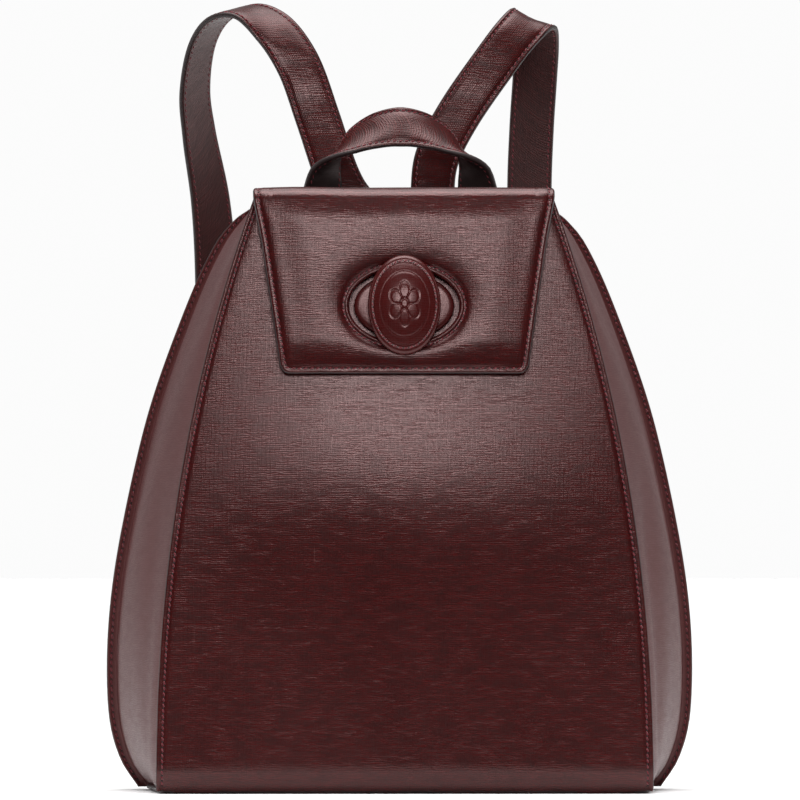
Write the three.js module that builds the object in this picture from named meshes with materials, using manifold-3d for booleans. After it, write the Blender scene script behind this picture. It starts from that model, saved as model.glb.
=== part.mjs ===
// Small leather backpack: wedge-shaped body, turn-lock flap, top handle and two shoulder straps.
// Millimetres. +Z up, +X to the right seen from the front, the front faces -Y.
// The origin is on the flat underside of the base, midway between the two gussets.

import * as THREE from 'three';
import { mergeVertices } from 'three/addons/utils/BufferGeometryUtils.js';
import Module from 'manifold-3d';

const wasm = await Module();
wasm.setup();

// ---- driving dimensions ----
const GAP = 0.3; // clearance between neighbouring pieces
const LEATHER = 2.0; // thickness of the body panels
const BASE_PLATE = 2.4; // thickness of the leather base panel
const PANEL_FOOT = BASE_PLATE + GAP; // the standing panels start here

const FRONT_TOP = 296; // height of the front panel's rim
const SHOULDER_TOP = 291; // height of the back panel at its top corners
const BACK_RISE = 7; // how far the back panel's rim rises between its corners

const FRONT_HALF_FOOT = 124; // half-width of the front panel at its foot
const FRONT_TAPER = 49; // how much narrower each side is at the rim
const TAPER_POWER = 2.2;
const FRONT_Y_FOOT = -62;
const FRONT_LEAN = 29; // how far the front leans back over its height
const FRONT_CROWN = 4;
const FOOT_CURL = 6; // how far the front panel curls under at its foot
const FOOT_CURL_HEIGHT = 12;

const BACK_Y_FOOT = 60;
const BACK_LEAN = 22;
const BACK_CROWN = 3;
const GUSSET_BULGE = 4;
const GUSSET_LAP = 1.4; // the back panel's edge stands this far proud of the gusset

const FLAP_FOLD_HALF = 75.5; // half-width of the flap at its front fold
const FLAP_FOOT_HALF = 62.4;
const FLAP_REAR_HALF = 66;
const FLAP_LENGTH = 88; // of the hanging front, along its slope
const FLAP_CORNER = 4;
const FLAP_LINING = 1.0;
const FLAP_PAD = 1.6;
const FLAP_OUTER = 1.4;
const FOLD_AXIS = { y: -35.5, z: 298 };
const REAR_AXIS = { y: 36, z: 299 };
const HINGE_ROOM = 4; // leather left out round each hinge axis

const LOCK_HEIGHT = 242.5; // height of the lock's centre
const KNOB_HALF_WIDTH = 18.15;
const KNOB_HALF_HEIGHT = 25;
const EYE_HALF_WIDTH = 27.5; // the opening in the flap
const EYE_HALF_HEIGHT = 18.5;
const RIM_HALF_WIDTH = 33; // outside of the soft rim round that opening
const RIM_HALF_HEIGHT = 30.2;

const STRAP_WIDTH = 22.5;
const HANDLE_WIDTH = 21.5;
const STRAP_OUTER = 1.6;
const STRAP_LINING = 1.0;

const ANCHOR_X = 100; // the lower strap anchors, each side
const BAR = { y: 69.5, z: 62 }; // the heel bar of each buckle

// ---- materials ----
const BURGUNDY = 0x54292b;
const DARK_BURGUNDY = 0x3a1a1c;
const LINING_RED = 0x5a2026;
const BLACK = 0x171314;
const GOLD = 0xb8954f;
const FOAM = 0x8c8680;
const BOARD = 0x6e5a45;

const leather = (colour = BURGUNDY) => ({ colour, roughness: 0.5, metalness: 0 });
const metal = (colour = GOLD) => ({ colour, roughness: 0.25, metalness: 1 });
const cloth = (colour = LINING_RED) => ({ colour, roughness: 0.9, metalness: 0 });

// ---- mesh helpers ----
const bag = new THREE.Group();

function add(name, geometry, look) {
  const material = new THREE.MeshStandardMaterial({
    color: look.colour,
    roughness: look.roughness,
    metalness: look.metalness,
  });
  const mesh = new THREE.Mesh(geometry, material);
  mesh.name = name;
  bag.add(mesh);
}

function signedVolume(points, triangles) {
  let volume = 0;
  for (let i = 0; i < triangles.length; i += 3) {
    const [a, b, c] = [points[triangles[i]], points[triangles[i + 1]], points[triangles[i + 2]]];
    volume += a.dot(b.clone().cross(c)) / 6;
  }
  return volume;
}

// A closed geometry from points and triangles, turned so that its faces point out.
function closedGeometry(points, triangles) {
  const facing = signedVolume(points, triangles) > 0 ? triangles : triangles.slice().reverse();
  const geometry = new THREE.BufferGeometry();
  const places = points.flatMap((p) => p.toArray());
  geometry.setAttribute('position', new THREE.Float32BufferAttribute(places, 3));
  geometry.setIndex(facing);
  return geometry;
}

// Two equal grids of points, face to face, closed round their border.
function sandwich(outer, inner) {
  const rows = outer.length;
  const columns = outer[0].length;
  const points = [...outer.flat(), ...inner.flat()];
  const half = rows * columns;
  const triangles = [];
  const quad = (a, b, c, d) => triangles.push(a, b, c, a, c, d);
  for (let r = 0; r < rows - 1; r += 1) {
    for (let c = 0; c < columns - 1; c += 1) {
      const i = r * columns + c;
      quad(i, i + 1, i + columns + 1, i + columns);
      quad(half + i, half + i + columns, half + i + columns + 1, half + i + 1);
    }
  }
  const border = [];
  for (let c = 0; c < columns - 1; c += 1) border.push(c);
  for (let r = 0; r < rows - 1; r += 1) border.push(r * columns + columns - 1);
  for (let c = columns - 1; c > 0; c -= 1) border.push((rows - 1) * columns + c);
  for (let r = rows - 1; r > 0; r -= 1) border.push(r * columns);
  border.forEach((a, k) => {
    const b = border[(k + 1) % border.length];
    quad(b, a, half + a, half + b);
  });
  return closedGeometry(points, triangles);
}

// A panel of even thickness whose outside is surface(u, v), with u and v from 0 to 1.
function panel(surface, columns, rows, thickness, inward) {
  const outer = [];
  const inner = [];
  const step = 1e-3;
  for (let r = 0; r <= rows; r += 1) {
    const outerRow = [];
    const innerRow = [];
    for (let c = 0; c <= columns; c += 1) {
      const u = c / columns;
      const v = r / rows;
      const point = surface(u, v);
      const [u0, u1] = [Math.max(u - step, 0), Math.min(u + step, 1)];
      const [v0, v1] = [Math.max(v - step, 0), Math.min(v + step, 1)];
      const along = surface(u1, v).sub(surface(u0, v));
      const up = surface(u, v1).sub(surface(u, v0));
      const normal = along.cross(up).normalize();
      if (normal.dot(inward) < 0) normal.negate();
      outerRow.push(point);
      innerRow.push(point.clone().addScaledVector(normal, thickness));
    }
    outer.push(outerRow);
    inner.push(innerRow);
  }
  return sandwich(outer, inner);
}

// Sections of equal point count joined in order, with the ends capped by a fan.
function loft(sections) {
  const count = sections[0].length;
  const points = sections.flat();
  const triangles = [];
  for (let s = 0; s < sections.length - 1; s += 1) {
    for (let i = 0; i < count; i += 1) {
      const a = s * count + i;
      const b = s * count + ((i + 1) % count);
      triangles.push(a, b, b + count, a, b + count, a + count);
    }
  }
  const last = (sections.length - 1) * count;
  for (let i = 1; i < count - 1; i += 1) {
    triangles.push(0, i + 1, i);
    triangles.push(last, last + i, last + i + 1);
  }
  return closedGeometry(points, triangles);
}

// A round bar bent into a closed flat ring along a path whose plane has the given normal.
function ringBar(path, flat, radius, steps, sides) {
  const points = [];
  const triangles = [];
  for (let s = 0; s < steps; s += 1) {
    const centre = path.getPoint(s / steps);
    const side = flat.clone().cross(path.getTangent(s / steps)).normalize();
    for (let k = 0; k < sides; k += 1) {
      const angle = (2 * Math.PI * k) / sides;
      const offset = side.clone().multiplyScalar(Math.cos(angle) * radius);
      offset.addScaledVector(flat, Math.sin(angle) * radius);
      points.push(centre.clone().add(offset));
      const next = ((s + 1) % steps) * sides;
      const a = s * sides + k;
      const b = s * sides + ((k + 1) % sides);
      triangles.push(a, b, next + ((k + 1) % sides), a, next + ((k + 1) % sides), next + k);
    }
  }
  return closedGeometry(points, triangles);
}

function toSolid(geometry) {
  const bare = geometry.clone();
  bare.deleteAttribute('normal');
  bare.deleteAttribute('uv');
  const merged = mergeVertices(bare, 1e-4);
  const mesh = new wasm.Mesh({
    numProp: 3,
    vertProperties: new Float32Array(merged.getAttribute('position').array),
    triVerts: new Uint32Array(merged.index.array),
  });
  return new wasm.Manifold(mesh);
}

function fromSolid(solid) {
  const mesh = solid.getMesh();
  const geometry = new THREE.BufferGeometry();
  const places = new Float32Array(mesh.vertProperties);
  geometry.setAttribute('position', new THREE.BufferAttribute(places, 3));
  geometry.setIndex(new THREE.BufferAttribute(new Uint32Array(mesh.triVerts), 1));
  return geometry;
}

const cut = (geometry, tool) => fromSolid(toSolid(geometry).subtract(toSolid(tool)));
const join = (geometry, other) => fromSolid(toSolid(geometry).add(toSolid(other)));

// ---- the body's shape ----
const lerp = THREE.MathUtils.lerp;

// Half-width of the back panel's edge against height, from the foot to the shoulder.
const backOutline = new THREE.SplineCurve(
  [
    [129, 0],
    [139, 16],
    [144.6, 40],
    [144.6, 82],
    [138.5, 128],
    [125, 188],
    [107, 243],
    [94, 272],
    [84, 285],
    [76, SHOULDER_TOP],
  ].map(([x, z]) => new THREE.Vector2(x, z)),
);

function frontHalf(z) {
  return FRONT_HALF_FOOT - FRONT_TAPER * (z / FRONT_TOP) ** TAPER_POWER;
}

function backHalf(z) {
  let [low, high] = [0, 1];
  for (let i = 0; i < 24; i += 1) {
    const middle = (low + high) / 2;
    if (backOutline.getPoint(middle).y < z) low = middle;
    else high = middle;
  }
  return backOutline.getPoint(low).x;
}

// The front panel's outside, u from -1 to 1 across.
function frontY(u, z) {
  const lean = FRONT_Y_FOOT + FRONT_LEAN * (z / FRONT_TOP);
  const curl = FOOT_CURL * Math.max(1 - z / FOOT_CURL_HEIGHT, 0) ** 2;
  const crown = FRONT_CROWN * (1 - u * u) * Math.sin((Math.PI * z) / FRONT_TOP);
  return lean + curl - crown;
}

// The back panel's outside at a place x, z.
function backY(x, z) {
  const flat = BACK_Y_FOOT - BACK_LEAN * (z / (SHOULDER_TOP + BACK_RISE)) ** 2;
  const across = 1 - Math.min(Math.abs(x) / 140, 1) ** 2;
  return flat + BACK_CROWN * across * Math.sin((Math.PI * Math.min(z, SHOULDER_TOP)) / SHOULDER_TOP);
}

// A gusset's outside: u from the front edge (0) to the back edge (1), v from foot to top.
function gussetPoint(side, u, v) {
  const frontZ = lerp(PANEL_FOOT, FRONT_TOP, v);
  const backZ = lerp(PANEL_FOOT, SHOULDER_TOP, v);
  const bulge = GUSSET_BULGE * 4 * u * (1 - u) * Math.sin(Math.PI * v);
  const x = lerp(frontHalf(frontZ) - 0.8, backHalf(backZ) - GUSSET_LAP, u) + bulge;
  const y0 = frontY(1, frontZ) + LEATHER + GAP + 0.1;
  const y1 = backY(backHalf(backZ), backZ) - LEATHER - GAP - 0.4;
  return new THREE.Vector3(side * x, lerp(y0, y1, u), lerp(frontZ, backZ, u));
}

const FORWARD = new THREE.Vector3(0, -1, 0);
const BACKWARD = new THREE.Vector3(0, 1, 0);
const SIDES = [
  ['left', -1],
  ['right', 1],
];

// ---- local frame of the flap's front and the lock ----
// Its x runs right, its y up the slope and its z outward, with the origin at the fold.
const FLAP_REST = new THREE.Vector3(0, frontY(0, 209) - 0.6, 209);
const FLAP_HEAD = new THREE.Vector3(0, -36.3, FRONT_TOP);
const slopeUp = FLAP_HEAD.clone().sub(FLAP_REST).normalize();
const outward = slopeUp.clone().cross(new THREE.Vector3(1, 0, 0)).negate();
const flapFrame = new THREE.Matrix4()
  .makeBasis(new THREE.Vector3(1, 0, 0), slopeUp, outward)
  .setPosition(FLAP_HEAD);
const lockDrop = (FRONT_TOP - LOCK_HEIGHT) / slopeUp.z;
const lockFrame = flapFrame.clone().multiply(new THREE.Matrix4().makeTranslation(0, -lockDrop, 0));

function ellipse(halfWidth, halfHeight, count) {
  const points = [];
  for (let i = 0; i < count; i += 1) {
    const angle = (2 * Math.PI * i) / count;
    points.push(new THREE.Vector2(halfWidth * Math.cos(angle), halfHeight * Math.sin(angle)));
  }
  return points;
}

function plate(shape, low, high, frame) {
  const options = { depth: high - low, bevelEnabled: false, curveSegments: 6 };
  const geometry = new THREE.ExtrudeGeometry(shape, options);
  geometry.translate(0, 0, low);
  return geometry.applyMatrix4(frame);
}

function roundBar(radius, low, high, sides, frame) {
  return plate(new THREE.Shape(ellipse(radius, radius, sides)), low, high, frame);
}

// ---- body panels ----
function makeBody() {
  const post = roundBar(3.8, -12, 3, 16, lockFrame);
  const front = panel(
    (u, v) => {
      const z = lerp(PANEL_FOOT, FRONT_TOP, v ** 1.25);
      const across = 2 * u - 1;
      return new THREE.Vector3(across * frontHalf(z), frontY(across, z), z);
    },
    10, 14, LEATHER, BACKWARD,
  );
  add('front_panel', cut(front, post), leather());

  const back = panel(
    (u, v) => {
      const across = 2 * u - 1;
      const edgeZ = lerp(PANEL_FOOT, SHOULDER_TOP, v);
      const x = across * backHalf(edgeZ);
      const z = edgeZ + BACK_RISE * (1 - across ** 4) * v ** 3;
      return new THREE.Vector3(x, backY(x, z), z);
    },
    12, 14, LEATHER, FORWARD,
  );
  add('back_panel', back, leather());

  for (const [name, side] of SIDES) {
    const inward = new THREE.Vector3(-side, 0, 0);
    const gusset = panel((u, v) => gussetPoint(side, u, v), 6, 16, LEATHER - 0.4, inward);
    add(`gusset_${name}`, gusset, leather());
  }

  const footprint = new THREE.Shape();
  const [frontX, backX] = [FRONT_HALF_FOOT - 2, 128];
  const [frontYEdge, backYEdge] = [FRONT_Y_FOOT + FOOT_CURL, BACK_Y_FOOT - 1];
  footprint.moveTo(-frontX + 6, frontYEdge);
  footprint.lineTo(frontX - 6, frontYEdge);
  footprint.quadraticCurveTo(frontX, frontYEdge, frontX + 0.3, frontYEdge + 7);
  footprint.lineTo(backX - 0.4, backYEdge - 9);
  footprint.quadraticCurveTo(backX, backYEdge, backX - 9, backYEdge);
  footprint.lineTo(-backX + 9, backYEdge);
  footprint.quadraticCurveTo(-backX, backYEdge, -backX + 0.4, backYEdge - 9);
  footprint.lineTo(-frontX - 0.3, frontYEdge + 7);
  footprint.quadraticCurveTo(-frontX, frontYEdge, -frontX + 6, frontYEdge);
  add('base_panel', plate(footprint, 0, BASE_PLATE, new THREE.Matrix4()), leather());

  const board = new THREE.Shape();
  board.moveTo(-114, -46);
  board.lineTo(114, -46);
  board.lineTo(118, 46);
  board.lineTo(-118, 46);
  board.closePath();
  add('base_board', plate(board, PANEL_FOOT, PANEL_FOOT + 2, new THREE.Matrix4()), cloth(BOARD));

  const pad = panel(
    (u, v) => {
      const z = lerp(16, 262, v);
      const x = (2 * u - 1) * (backHalf(z) - 14);
      return new THREE.Vector3(x, backY(x, z) - LEATHER - GAP - 0.4, z);
    },
    8, 10, 3.4, FORWARD,
  );
  add('back_padding', pad, cloth(FOAM));
}

// ---- lining: an open-topped container inside the panels ----
const LINING_FOOT = 5.4;
const LINING_TOP = 280;
const LINING_FRONT = 7.4;
const LINING_SIDE = 3.4;
const LINING_BACK = 8.0;
const LINING_SKIN = 0.9;

function liningLoop(z, extra) {
  const heightOnEdge = Math.min(Math.max(z, PANEL_FOOT), SHOULDER_TOP);
  const halfFront = frontHalf(heightOnEdge) - LINING_SIDE - 1.6 - extra;
  const halfBack = backHalf(heightOnEdge) - LINING_SIDE - 2.4 - extra;
  const loop = [];
  const count = 8;
  for (let i = 0; i < count; i += 1) {
    const u = (2 * i) / count - 1;
    loop.push(new THREE.Vector3(u * halfFront, frontY(u, z) + LINING_FRONT + extra, z));
  }
  const yFront = frontY(1, z) + LINING_FRONT + extra;
  const yBack = backY(halfBack, z) - LINING_BACK - extra;
  for (let i = 0; i < 5; i += 1) {
    loop.push(new THREE.Vector3(lerp(halfFront, halfBack, i / 5), lerp(yFront, yBack, i / 5), z));
  }
  for (let i = 0; i < count; i += 1) {
    const x = halfBack * (1 - (2 * i) / count);
    loop.push(new THREE.Vector3(x, backY(x, z) - LINING_BACK - extra, z));
  }
  for (let i = 0; i < 5; i += 1) {
    loop.push(new THREE.Vector3(-lerp(halfBack, halfFront, i / 5), lerp(yBack, yFront, i / 5), z));
  }
  return loop;
}

function makeLining() {
  const outside = [];
  const inside = [];
  const rows = 8;
  for (let r = 0; r <= rows; r += 1) {
    outside.push(liningLoop(lerp(LINING_FOOT, LINING_TOP, r / rows), 0));
    inside.push(liningLoop(lerp(LINING_FOOT + LINING_SKIN, LINING_TOP, r / rows), LINING_SKIN));
  }
  add('lining', loft([...outside, ...inside.reverse()]), cloth());
}

// A strip that follows the inside of the front or back wall, between two offsets from its outside.
function makeFacings() {
  const frontFacing = panel(
    (u, v) => {
      const across = 2 * u - 1;
      const z = lerp(262, 294, v);
      const y = frontY(across, z) + LINING_FRONT + LINING_SKIN + GAP + 0.2;
      return new THREE.Vector3(across * 66, y, z);
    },
    6, 3, 1.2, BACKWARD,
  );
  add('mouth_facing_front', frontFacing, leather(DARK_BURGUNDY));

  const backFacing = panel(
    (u, v) => {
      const x = (2 * u - 1) * 64;
      const z = lerp(262, 294, v);
      return new THREE.Vector3(x, backY(x, z) - LINING_BACK - LINING_SKIN - GAP - 0.2, z);
    },
    6, 3, 1.2, FORWARD,
  );
  add('mouth_facing_back', backFacing, leather(DARK_BURGUNDY));
}

// ---- zipped pocket on the inside of the back wall ----
const ZIP_HALF = 62;
const ZIP_Z = 217;
const SLIDER_X = -54;

function pocketY(x, z) {
  return backY(x, z) - LINING_BACK - LINING_SKIN - GAP - 0.2;
}

function makePocket() {
  const patch = panel(
    (u, v) => {
      const x = (2 * u - 1) * 68;
      const z = lerp(112, 208, v);
      return new THREE.Vector3(x, pocketY(x, z), z);
    },
    6, 6, 1.0, FORWARD,
  );
  add('pocket_panel', patch, cloth());

  const tape = panel(
    (u, v) => {
      const x = (2 * u - 1) * 68;
      const z = lerp(208.6, 226, v);
      return new THREE.Vector3(x, pocketY(x, z), z);
    },
    6, 2, 0.8, FORWARD,
  );
  add('zip_tape', tape, cloth(BLACK));

  const teethY = pocketY(0, ZIP_Z) - 1.6;
  const teeth = new THREE.BoxGeometry(2 * ZIP_HALF, 1.4, 4.4);
  teeth.translate(0, teethY - 0.7, ZIP_Z);
  add('zip_teeth', teeth, metal());

  const pinY = teethY - 7;
  const slider = new THREE.BoxGeometry(9, 1.6, 8);
  slider.translate(SLIDER_X, teethY - 2.7, ZIP_Z);
  const lug = new THREE.BoxGeometry(2, 5.4, 2.6);
  lug.translate(SLIDER_X, pinY + 1.1, ZIP_Z);
  const eye = new THREE.CylinderGeometry(0.9, 0.9, 6, 10);
  eye.rotateZ(Math.PI / 2);
  eye.translate(SLIDER_X, pinY, ZIP_Z);
  add('zip_slider', cut(join(slider, lug), eye), metal());

  // The pull is a fork whose two arms stand either side of the slider's lug, with a pin across.
  const fork = new THREE.Shape(
    [
      [-3, 0.9],
      [-1.3, 0.9],
      [-1.3, -2.7],
      [1.3, -2.7],
      [1.3, 0.9],
      [3, 0.9],
      [3.6, -12],
      [2.4, -22],
      [-2.4, -22],
      [-3.6, -12],
    ].map(([x, z]) => new THREE.Vector2(x, z)),
  );
  const pull = new THREE.ExtrudeGeometry(fork, { depth: 1.4, bevelEnabled: false });
  pull.rotateX(Math.PI / 2);
  pull.translate(SLIDER_X, pinY + 0.7, ZIP_Z);
  const pin = new THREE.CylinderGeometry(0.55, 0.55, 4.6, 8);
  pin.rotateZ(Math.PI / 2);
  pin.translate(SLIDER_X, pinY, ZIP_Z);
  add('zip_pull', join(pull, pin), metal());
}

// ---- turn lock ----
function makeLock() {
  const oval = (w, h, hole) => {
    const shape = new THREE.Shape(ellipse(w, h, 28));
    if (hole) shape.holes.push(new THREE.Path(ellipse(hole, hole, 16)));
    return shape;
  };
  add('lock_base_plate', plate(oval(25, 16.5, 3.7), -0.9, 1.8, lockFrame), leather(DARK_BURGUNDY));
  add('lock_backing_plate', plate(oval(16, 10, 3.7), -5.6, -4.4, lockFrame), metal());

  const post = roundBar(3.2, -5.9, 8, 16, lockFrame);
  const head = roundBar(6.4, -7.6, -5.9, 16, lockFrame);
  add('lock_post', join(post, head), metal());
  const washer = new THREE.Shape(ellipse(7.5, 7.5, 20));
  washer.holes.push(new THREE.Path(ellipse(3.6, 3.6, 16)));
  add('lock_washer', plate(washer, 2.1, 3.6, lockFrame), metal());

  // Ovals stacked outward, each with its height and its share of the knob's outline.
  const ovals = (profile) =>
    profile.map(([height, share]) =>
      ellipse(KNOB_HALF_WIDTH * share, KNOB_HALF_HEIGHT * share, 28).map((p) =>
        new THREE.Vector3(p.x, p.y, height).applyMatrix4(lockFrame),
      ),
    );
  const core = loft(
    ovals([
      [4.3, 0.84],
      [6.2, 0.87],
      [8.6, 0.72],
      [9.9, 0.5],
      [10.5, 0.22],
    ]),
  );
  add('knob_core', cut(core, roundBar(3.6, 3, 8.3, 16, lockFrame)), metal());

  // The cover is a dome open underneath: down its inside, round its lip and up its outside.
  const cover = loft(
    ovals([
      [11.0, 0.2],
      [10.4, 0.52],
      [9.0, 0.76],
      [6.5, 0.9],
      [5.0, 0.9],
      [4.0, 0.89],
      [4.0, 0.97],
      [5.2, 1],
      [7.0, 0.97],
      [9.6, 0.78],
      [11.2, 0.52],
      [11.9, 0.2],
    ]),
  );
  add('knob_cover', cover, leather());
}

// ---- flap ----
function flapOutline(inset) {
  const drop = FOLD_AXIS.z - FRONT_TOP - HINGE_ROOM;
  const halfAt = (y) => lerp(FLAP_FOLD_HALF, FLAP_FOOT_HALF, -y / FLAP_LENGTH) - inset;
  const foot = -FLAP_LENGTH + inset;
  const corner = Math.max(FLAP_CORNER - inset / 2, 1);
  const head = drop - inset;
  const shape = new THREE.Shape();
  shape.moveTo(-halfAt(head), head);
  shape.lineTo(-halfAt(foot + corner), foot + corner);
  shape.quadraticCurveTo(-halfAt(foot), foot, -halfAt(foot) + corner, foot);
  shape.lineTo(halfAt(foot) - corner, foot);
  shape.quadraticCurveTo(halfAt(foot), foot, halfAt(foot + corner), foot + corner);
  shape.lineTo(halfAt(head), head);
  shape.closePath();
  return shape;
}

function makeFlap() {
  const layer = (name, low, thickness, look) => {
    const shape = flapOutline(0);
    const hole = ellipse(RIM_HALF_WIDTH, RIM_HALF_HEIGHT, 28);
    shape.holes.push(new THREE.Path(hole.map((p) => new THREE.Vector2(p.x, p.y - lockDrop))));
    add(name, plate(shape, low, low + thickness, flapFrame), look);
  };
  const padLow = FLAP_LINING + GAP;
  const outerLow = padLow + FLAP_PAD + GAP;
  layer('flap_front_lining', 0, FLAP_LINING, leather(DARK_BURGUNDY));
  const pad = plate(flapOutline(5), padLow, padLow + FLAP_PAD, flapFrame);
  const eye = new THREE.Shape(ellipse(RIM_HALF_WIDTH + 1, RIM_HALF_HEIGHT + 1, 28));
  add('flap_front_padding', cut(pad, plate(eye, 0, 2 * padLow + FLAP_PAD, lockFrame)), cloth(FOAM));
  layer('flap_front_leather', outerLow, FLAP_OUTER, leather());

  const rim = new THREE.Shape(ellipse(RIM_HALF_WIDTH - GAP, RIM_HALF_HEIGHT - GAP, 28));
  rim.holes.push(new THREE.Path(ellipse(EYE_HALF_WIDTH, EYE_HALF_HEIGHT, 28)));
  add('flap_eyelet_rim', plate(rim, 0.2, 3.7, lockFrame), leather());

  const top = new THREE.Shape();
  const [rear, front] = [REAR_AXIS.y - HINGE_ROOM, FOLD_AXIS.y + HINGE_ROOM];
  top.moveTo(-FLAP_FOLD_HALF + 0.5, front);
  top.lineTo(FLAP_FOLD_HALF - 0.5, front);
  top.lineTo(FLAP_REAR_HALF, rear);
  top.lineTo(-FLAP_REAR_HALF, rear);
  top.closePath();
  const low = FOLD_AXIS.z + GAP;
  add('flap_top_lining', plate(top, low, low + 0.9, new THREE.Matrix4()), leather(DARK_BURGUNDY));
  add('flap_top_leather', plate(top, low + 1.2, low + 3.0, new THREE.Matrix4()), leather());
}

// ---- ribbons: handle and straps ----
// Each station gives the middle of the ribbon and the direction across it.
function ribbonFrames(stations, count) {
  const centres = new THREE.CatmullRomCurve3(stations.map((s) => s.centre), false, 'centripetal');
  const frames = [];
  for (let i = 0; i <= count; i += 1) {
    const t = i / count;
    const place = t * (stations.length - 1);
    const k = Math.min(Math.floor(place), stations.length - 2);
    const across = stations[k].across.clone().lerp(stations[k + 1].across, place - k);
    const centre = centres.getPoint(t);
    const along = centres.getTangent(t);
    across.addScaledVector(along, -across.dot(along)).normalize();
    const normal = along.clone().cross(across);
    frames.push({ centre, across, normal });
  }
  return frames;
}

function ribbon(frames, width, low, high) {
  const edge = (f, side, lift) =>
    f.centre.clone().addScaledVector(f.across, (side * width) / 2).addScaledVector(f.normal, lift);
  const face = (lift) => frames.map((f) => [edge(f, -1, lift), edge(f, 1, lift)]);
  return sandwich(face(high), face(low));
}

// The handle's near and far edges, from its left foot to the middle.
const HANDLE_STATIONS = [
  { near: [48.5, 41.2, 299.5], far: [29.2, 49.6, 299.5] },
  { near: [45.5, 38.6, 308.4], far: [29, 52, 309.5] },
  { near: [36, 35.2, 314.8], far: [28.3, 53.4, 320.2] },
  { near: [24, 33.4, 318.7], far: [23.6, 50.6, 331.4] },
  { near: [12, 33.2, 321.5], far: [12.6, 45.4, 339.2] },
  { near: [0, 33.4, 322.4], far: [0, 41.6, 342.3] },
];

function handleStations() {
  const station = (entry, side) => {
    const near = new THREE.Vector3(side * entry.near[0], entry.near[1], entry.near[2]);
    const far = new THREE.Vector3(side * entry.far[0], entry.far[1], entry.far[2]);
    return { centre: near.clone().add(far).multiplyScalar(0.5), across: far.sub(near).normalize() };
  };
  const left = HANDLE_STATIONS.map((entry) => station(entry, -1));
  const right = HANDLE_STATIONS.slice(0, -1).reverse().map((entry) => station(entry, 1));
  return [...left, ...right];
}

function makeHandle() {
  const frames = ribbonFrames(handleStations(), 36);
  add('handle_leather', ribbon(frames, HANDLE_WIDTH, 0, STRAP_OUTER), leather());
  add('handle_lining', ribbon(frames, HANDLE_WIDTH, -STRAP_LINING - GAP, -GAP), leather(BLACK));
  for (const [name, side] of SIDES) {
    const end = panel(
      (u, v) => {
        const x = side * lerp(28.8, 50, u);
        const z = lerp(266, 296, v);
        return new THREE.Vector3(x, backY(x, z) + GAP + 2.6, z);
      },
      2, 4, 2.4, FORWARD,
    );
    add(`handle_end_${name}`, end, leather());
  }
}

// The middle line of each shoulder strap from the top anchor over the loop to its buckle, with the
// direction across it.
const LEFT_STRAP = [
  { centre: [-20, 50.5, 289.5], across: [1, 0, 0.2] },
  { centre: [-26.1, 54.5, 301], across: [0.96, 0, 0.29] },
  { centre: [-32.3, 61, 320], across: [0.96, 0, 0.27] },
  { centre: [-38.1, 66, 338], across: [0.95, 0, 0.3] },
  { centre: [-48, 71, 365], across: [0.93, 0.1, 0.35] },
  { centre: [-60, 75, 382], across: [0.85, 0.35, 0.4] },
  { centre: [-73.5, 80.5, 390.5], across: [0.62, 0.74, 0.25] },
  { centre: [-86.5, 87.5, 387.5], across: [0.52, 0.85, 0.05] },
  { centre: [-94.8, 95, 376], across: [0.56, 0.83, 0] },
  { centre: [-99, 102, 351], across: [0.65, 0.76, 0] },
  { centre: [-96.8, 106, 329], across: [0.73, 0.68, 0] },
  { centre: [-91, 110, 295], across: [0.87, 0.5, 0] },
  { centre: [-88, 112, 250], across: [0.95, 0.3, 0] },
  { centre: [-89, 109.5, 200], across: [1, 0.1, 0] },
  { centre: [-93, 102, 150], across: [1, 0, 0] },
  { centre: [-99, 89, 108], across: [1, 0, 0] },
  { centre: [-ANCHOR_X, 85, 97], across: [1, 0, 0] },
];

const RIGHT_STRAP = [
  { centre: [17, 50.5, 289.5], across: [1, 0, -0.1] },
  { centre: [18.9, 54.5, 301], across: [0.95, 0, -0.3] },
  { centre: [24.2, 61, 320], across: [0.9, 0, -0.43] },
  { centre: [34.2, 66, 339], across: [0.88, 0, -0.47] },
  { centre: [53, 71.5, 366], across: [0.87, 0, -0.48] },
  { centre: [63, 76, 379], across: [0.87, 0.05, -0.48] },
  { centre: [70, 83, 385.5], across: [0.9, 0.05, -0.43] },
  { centre: [73.5, 91, 383.5], across: [0.95, 0, -0.3] },
  { centre: [74.3, 98, 374], across: [0.98, 0, -0.12] },
  { centre: [73.5, 103.5, 357], across: [1, 0, 0] },
  { centre: [72, 107.5, 332], across: [1, 0, 0] },
  { centre: [71, 110.5, 298], across: [1, 0, 0] },
  { centre: [73, 112, 250], across: [1, 0, 0] },
  { centre: [80, 109.5, 200], across: [1, 0, 0] },
  { centre: [88, 102, 150], across: [1, 0, 0] },
  { centre: [99, 89, 108], across: [1, 0, 0] },
  { centre: [ANCHOR_X, 85, 97], across: [1, 0, 0] },
];

const asStations = (rows) =>
  rows.map((row) => ({
    centre: new THREE.Vector3(...row.centre),
    across: new THREE.Vector3(...row.across).normalize(),
  }));

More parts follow.
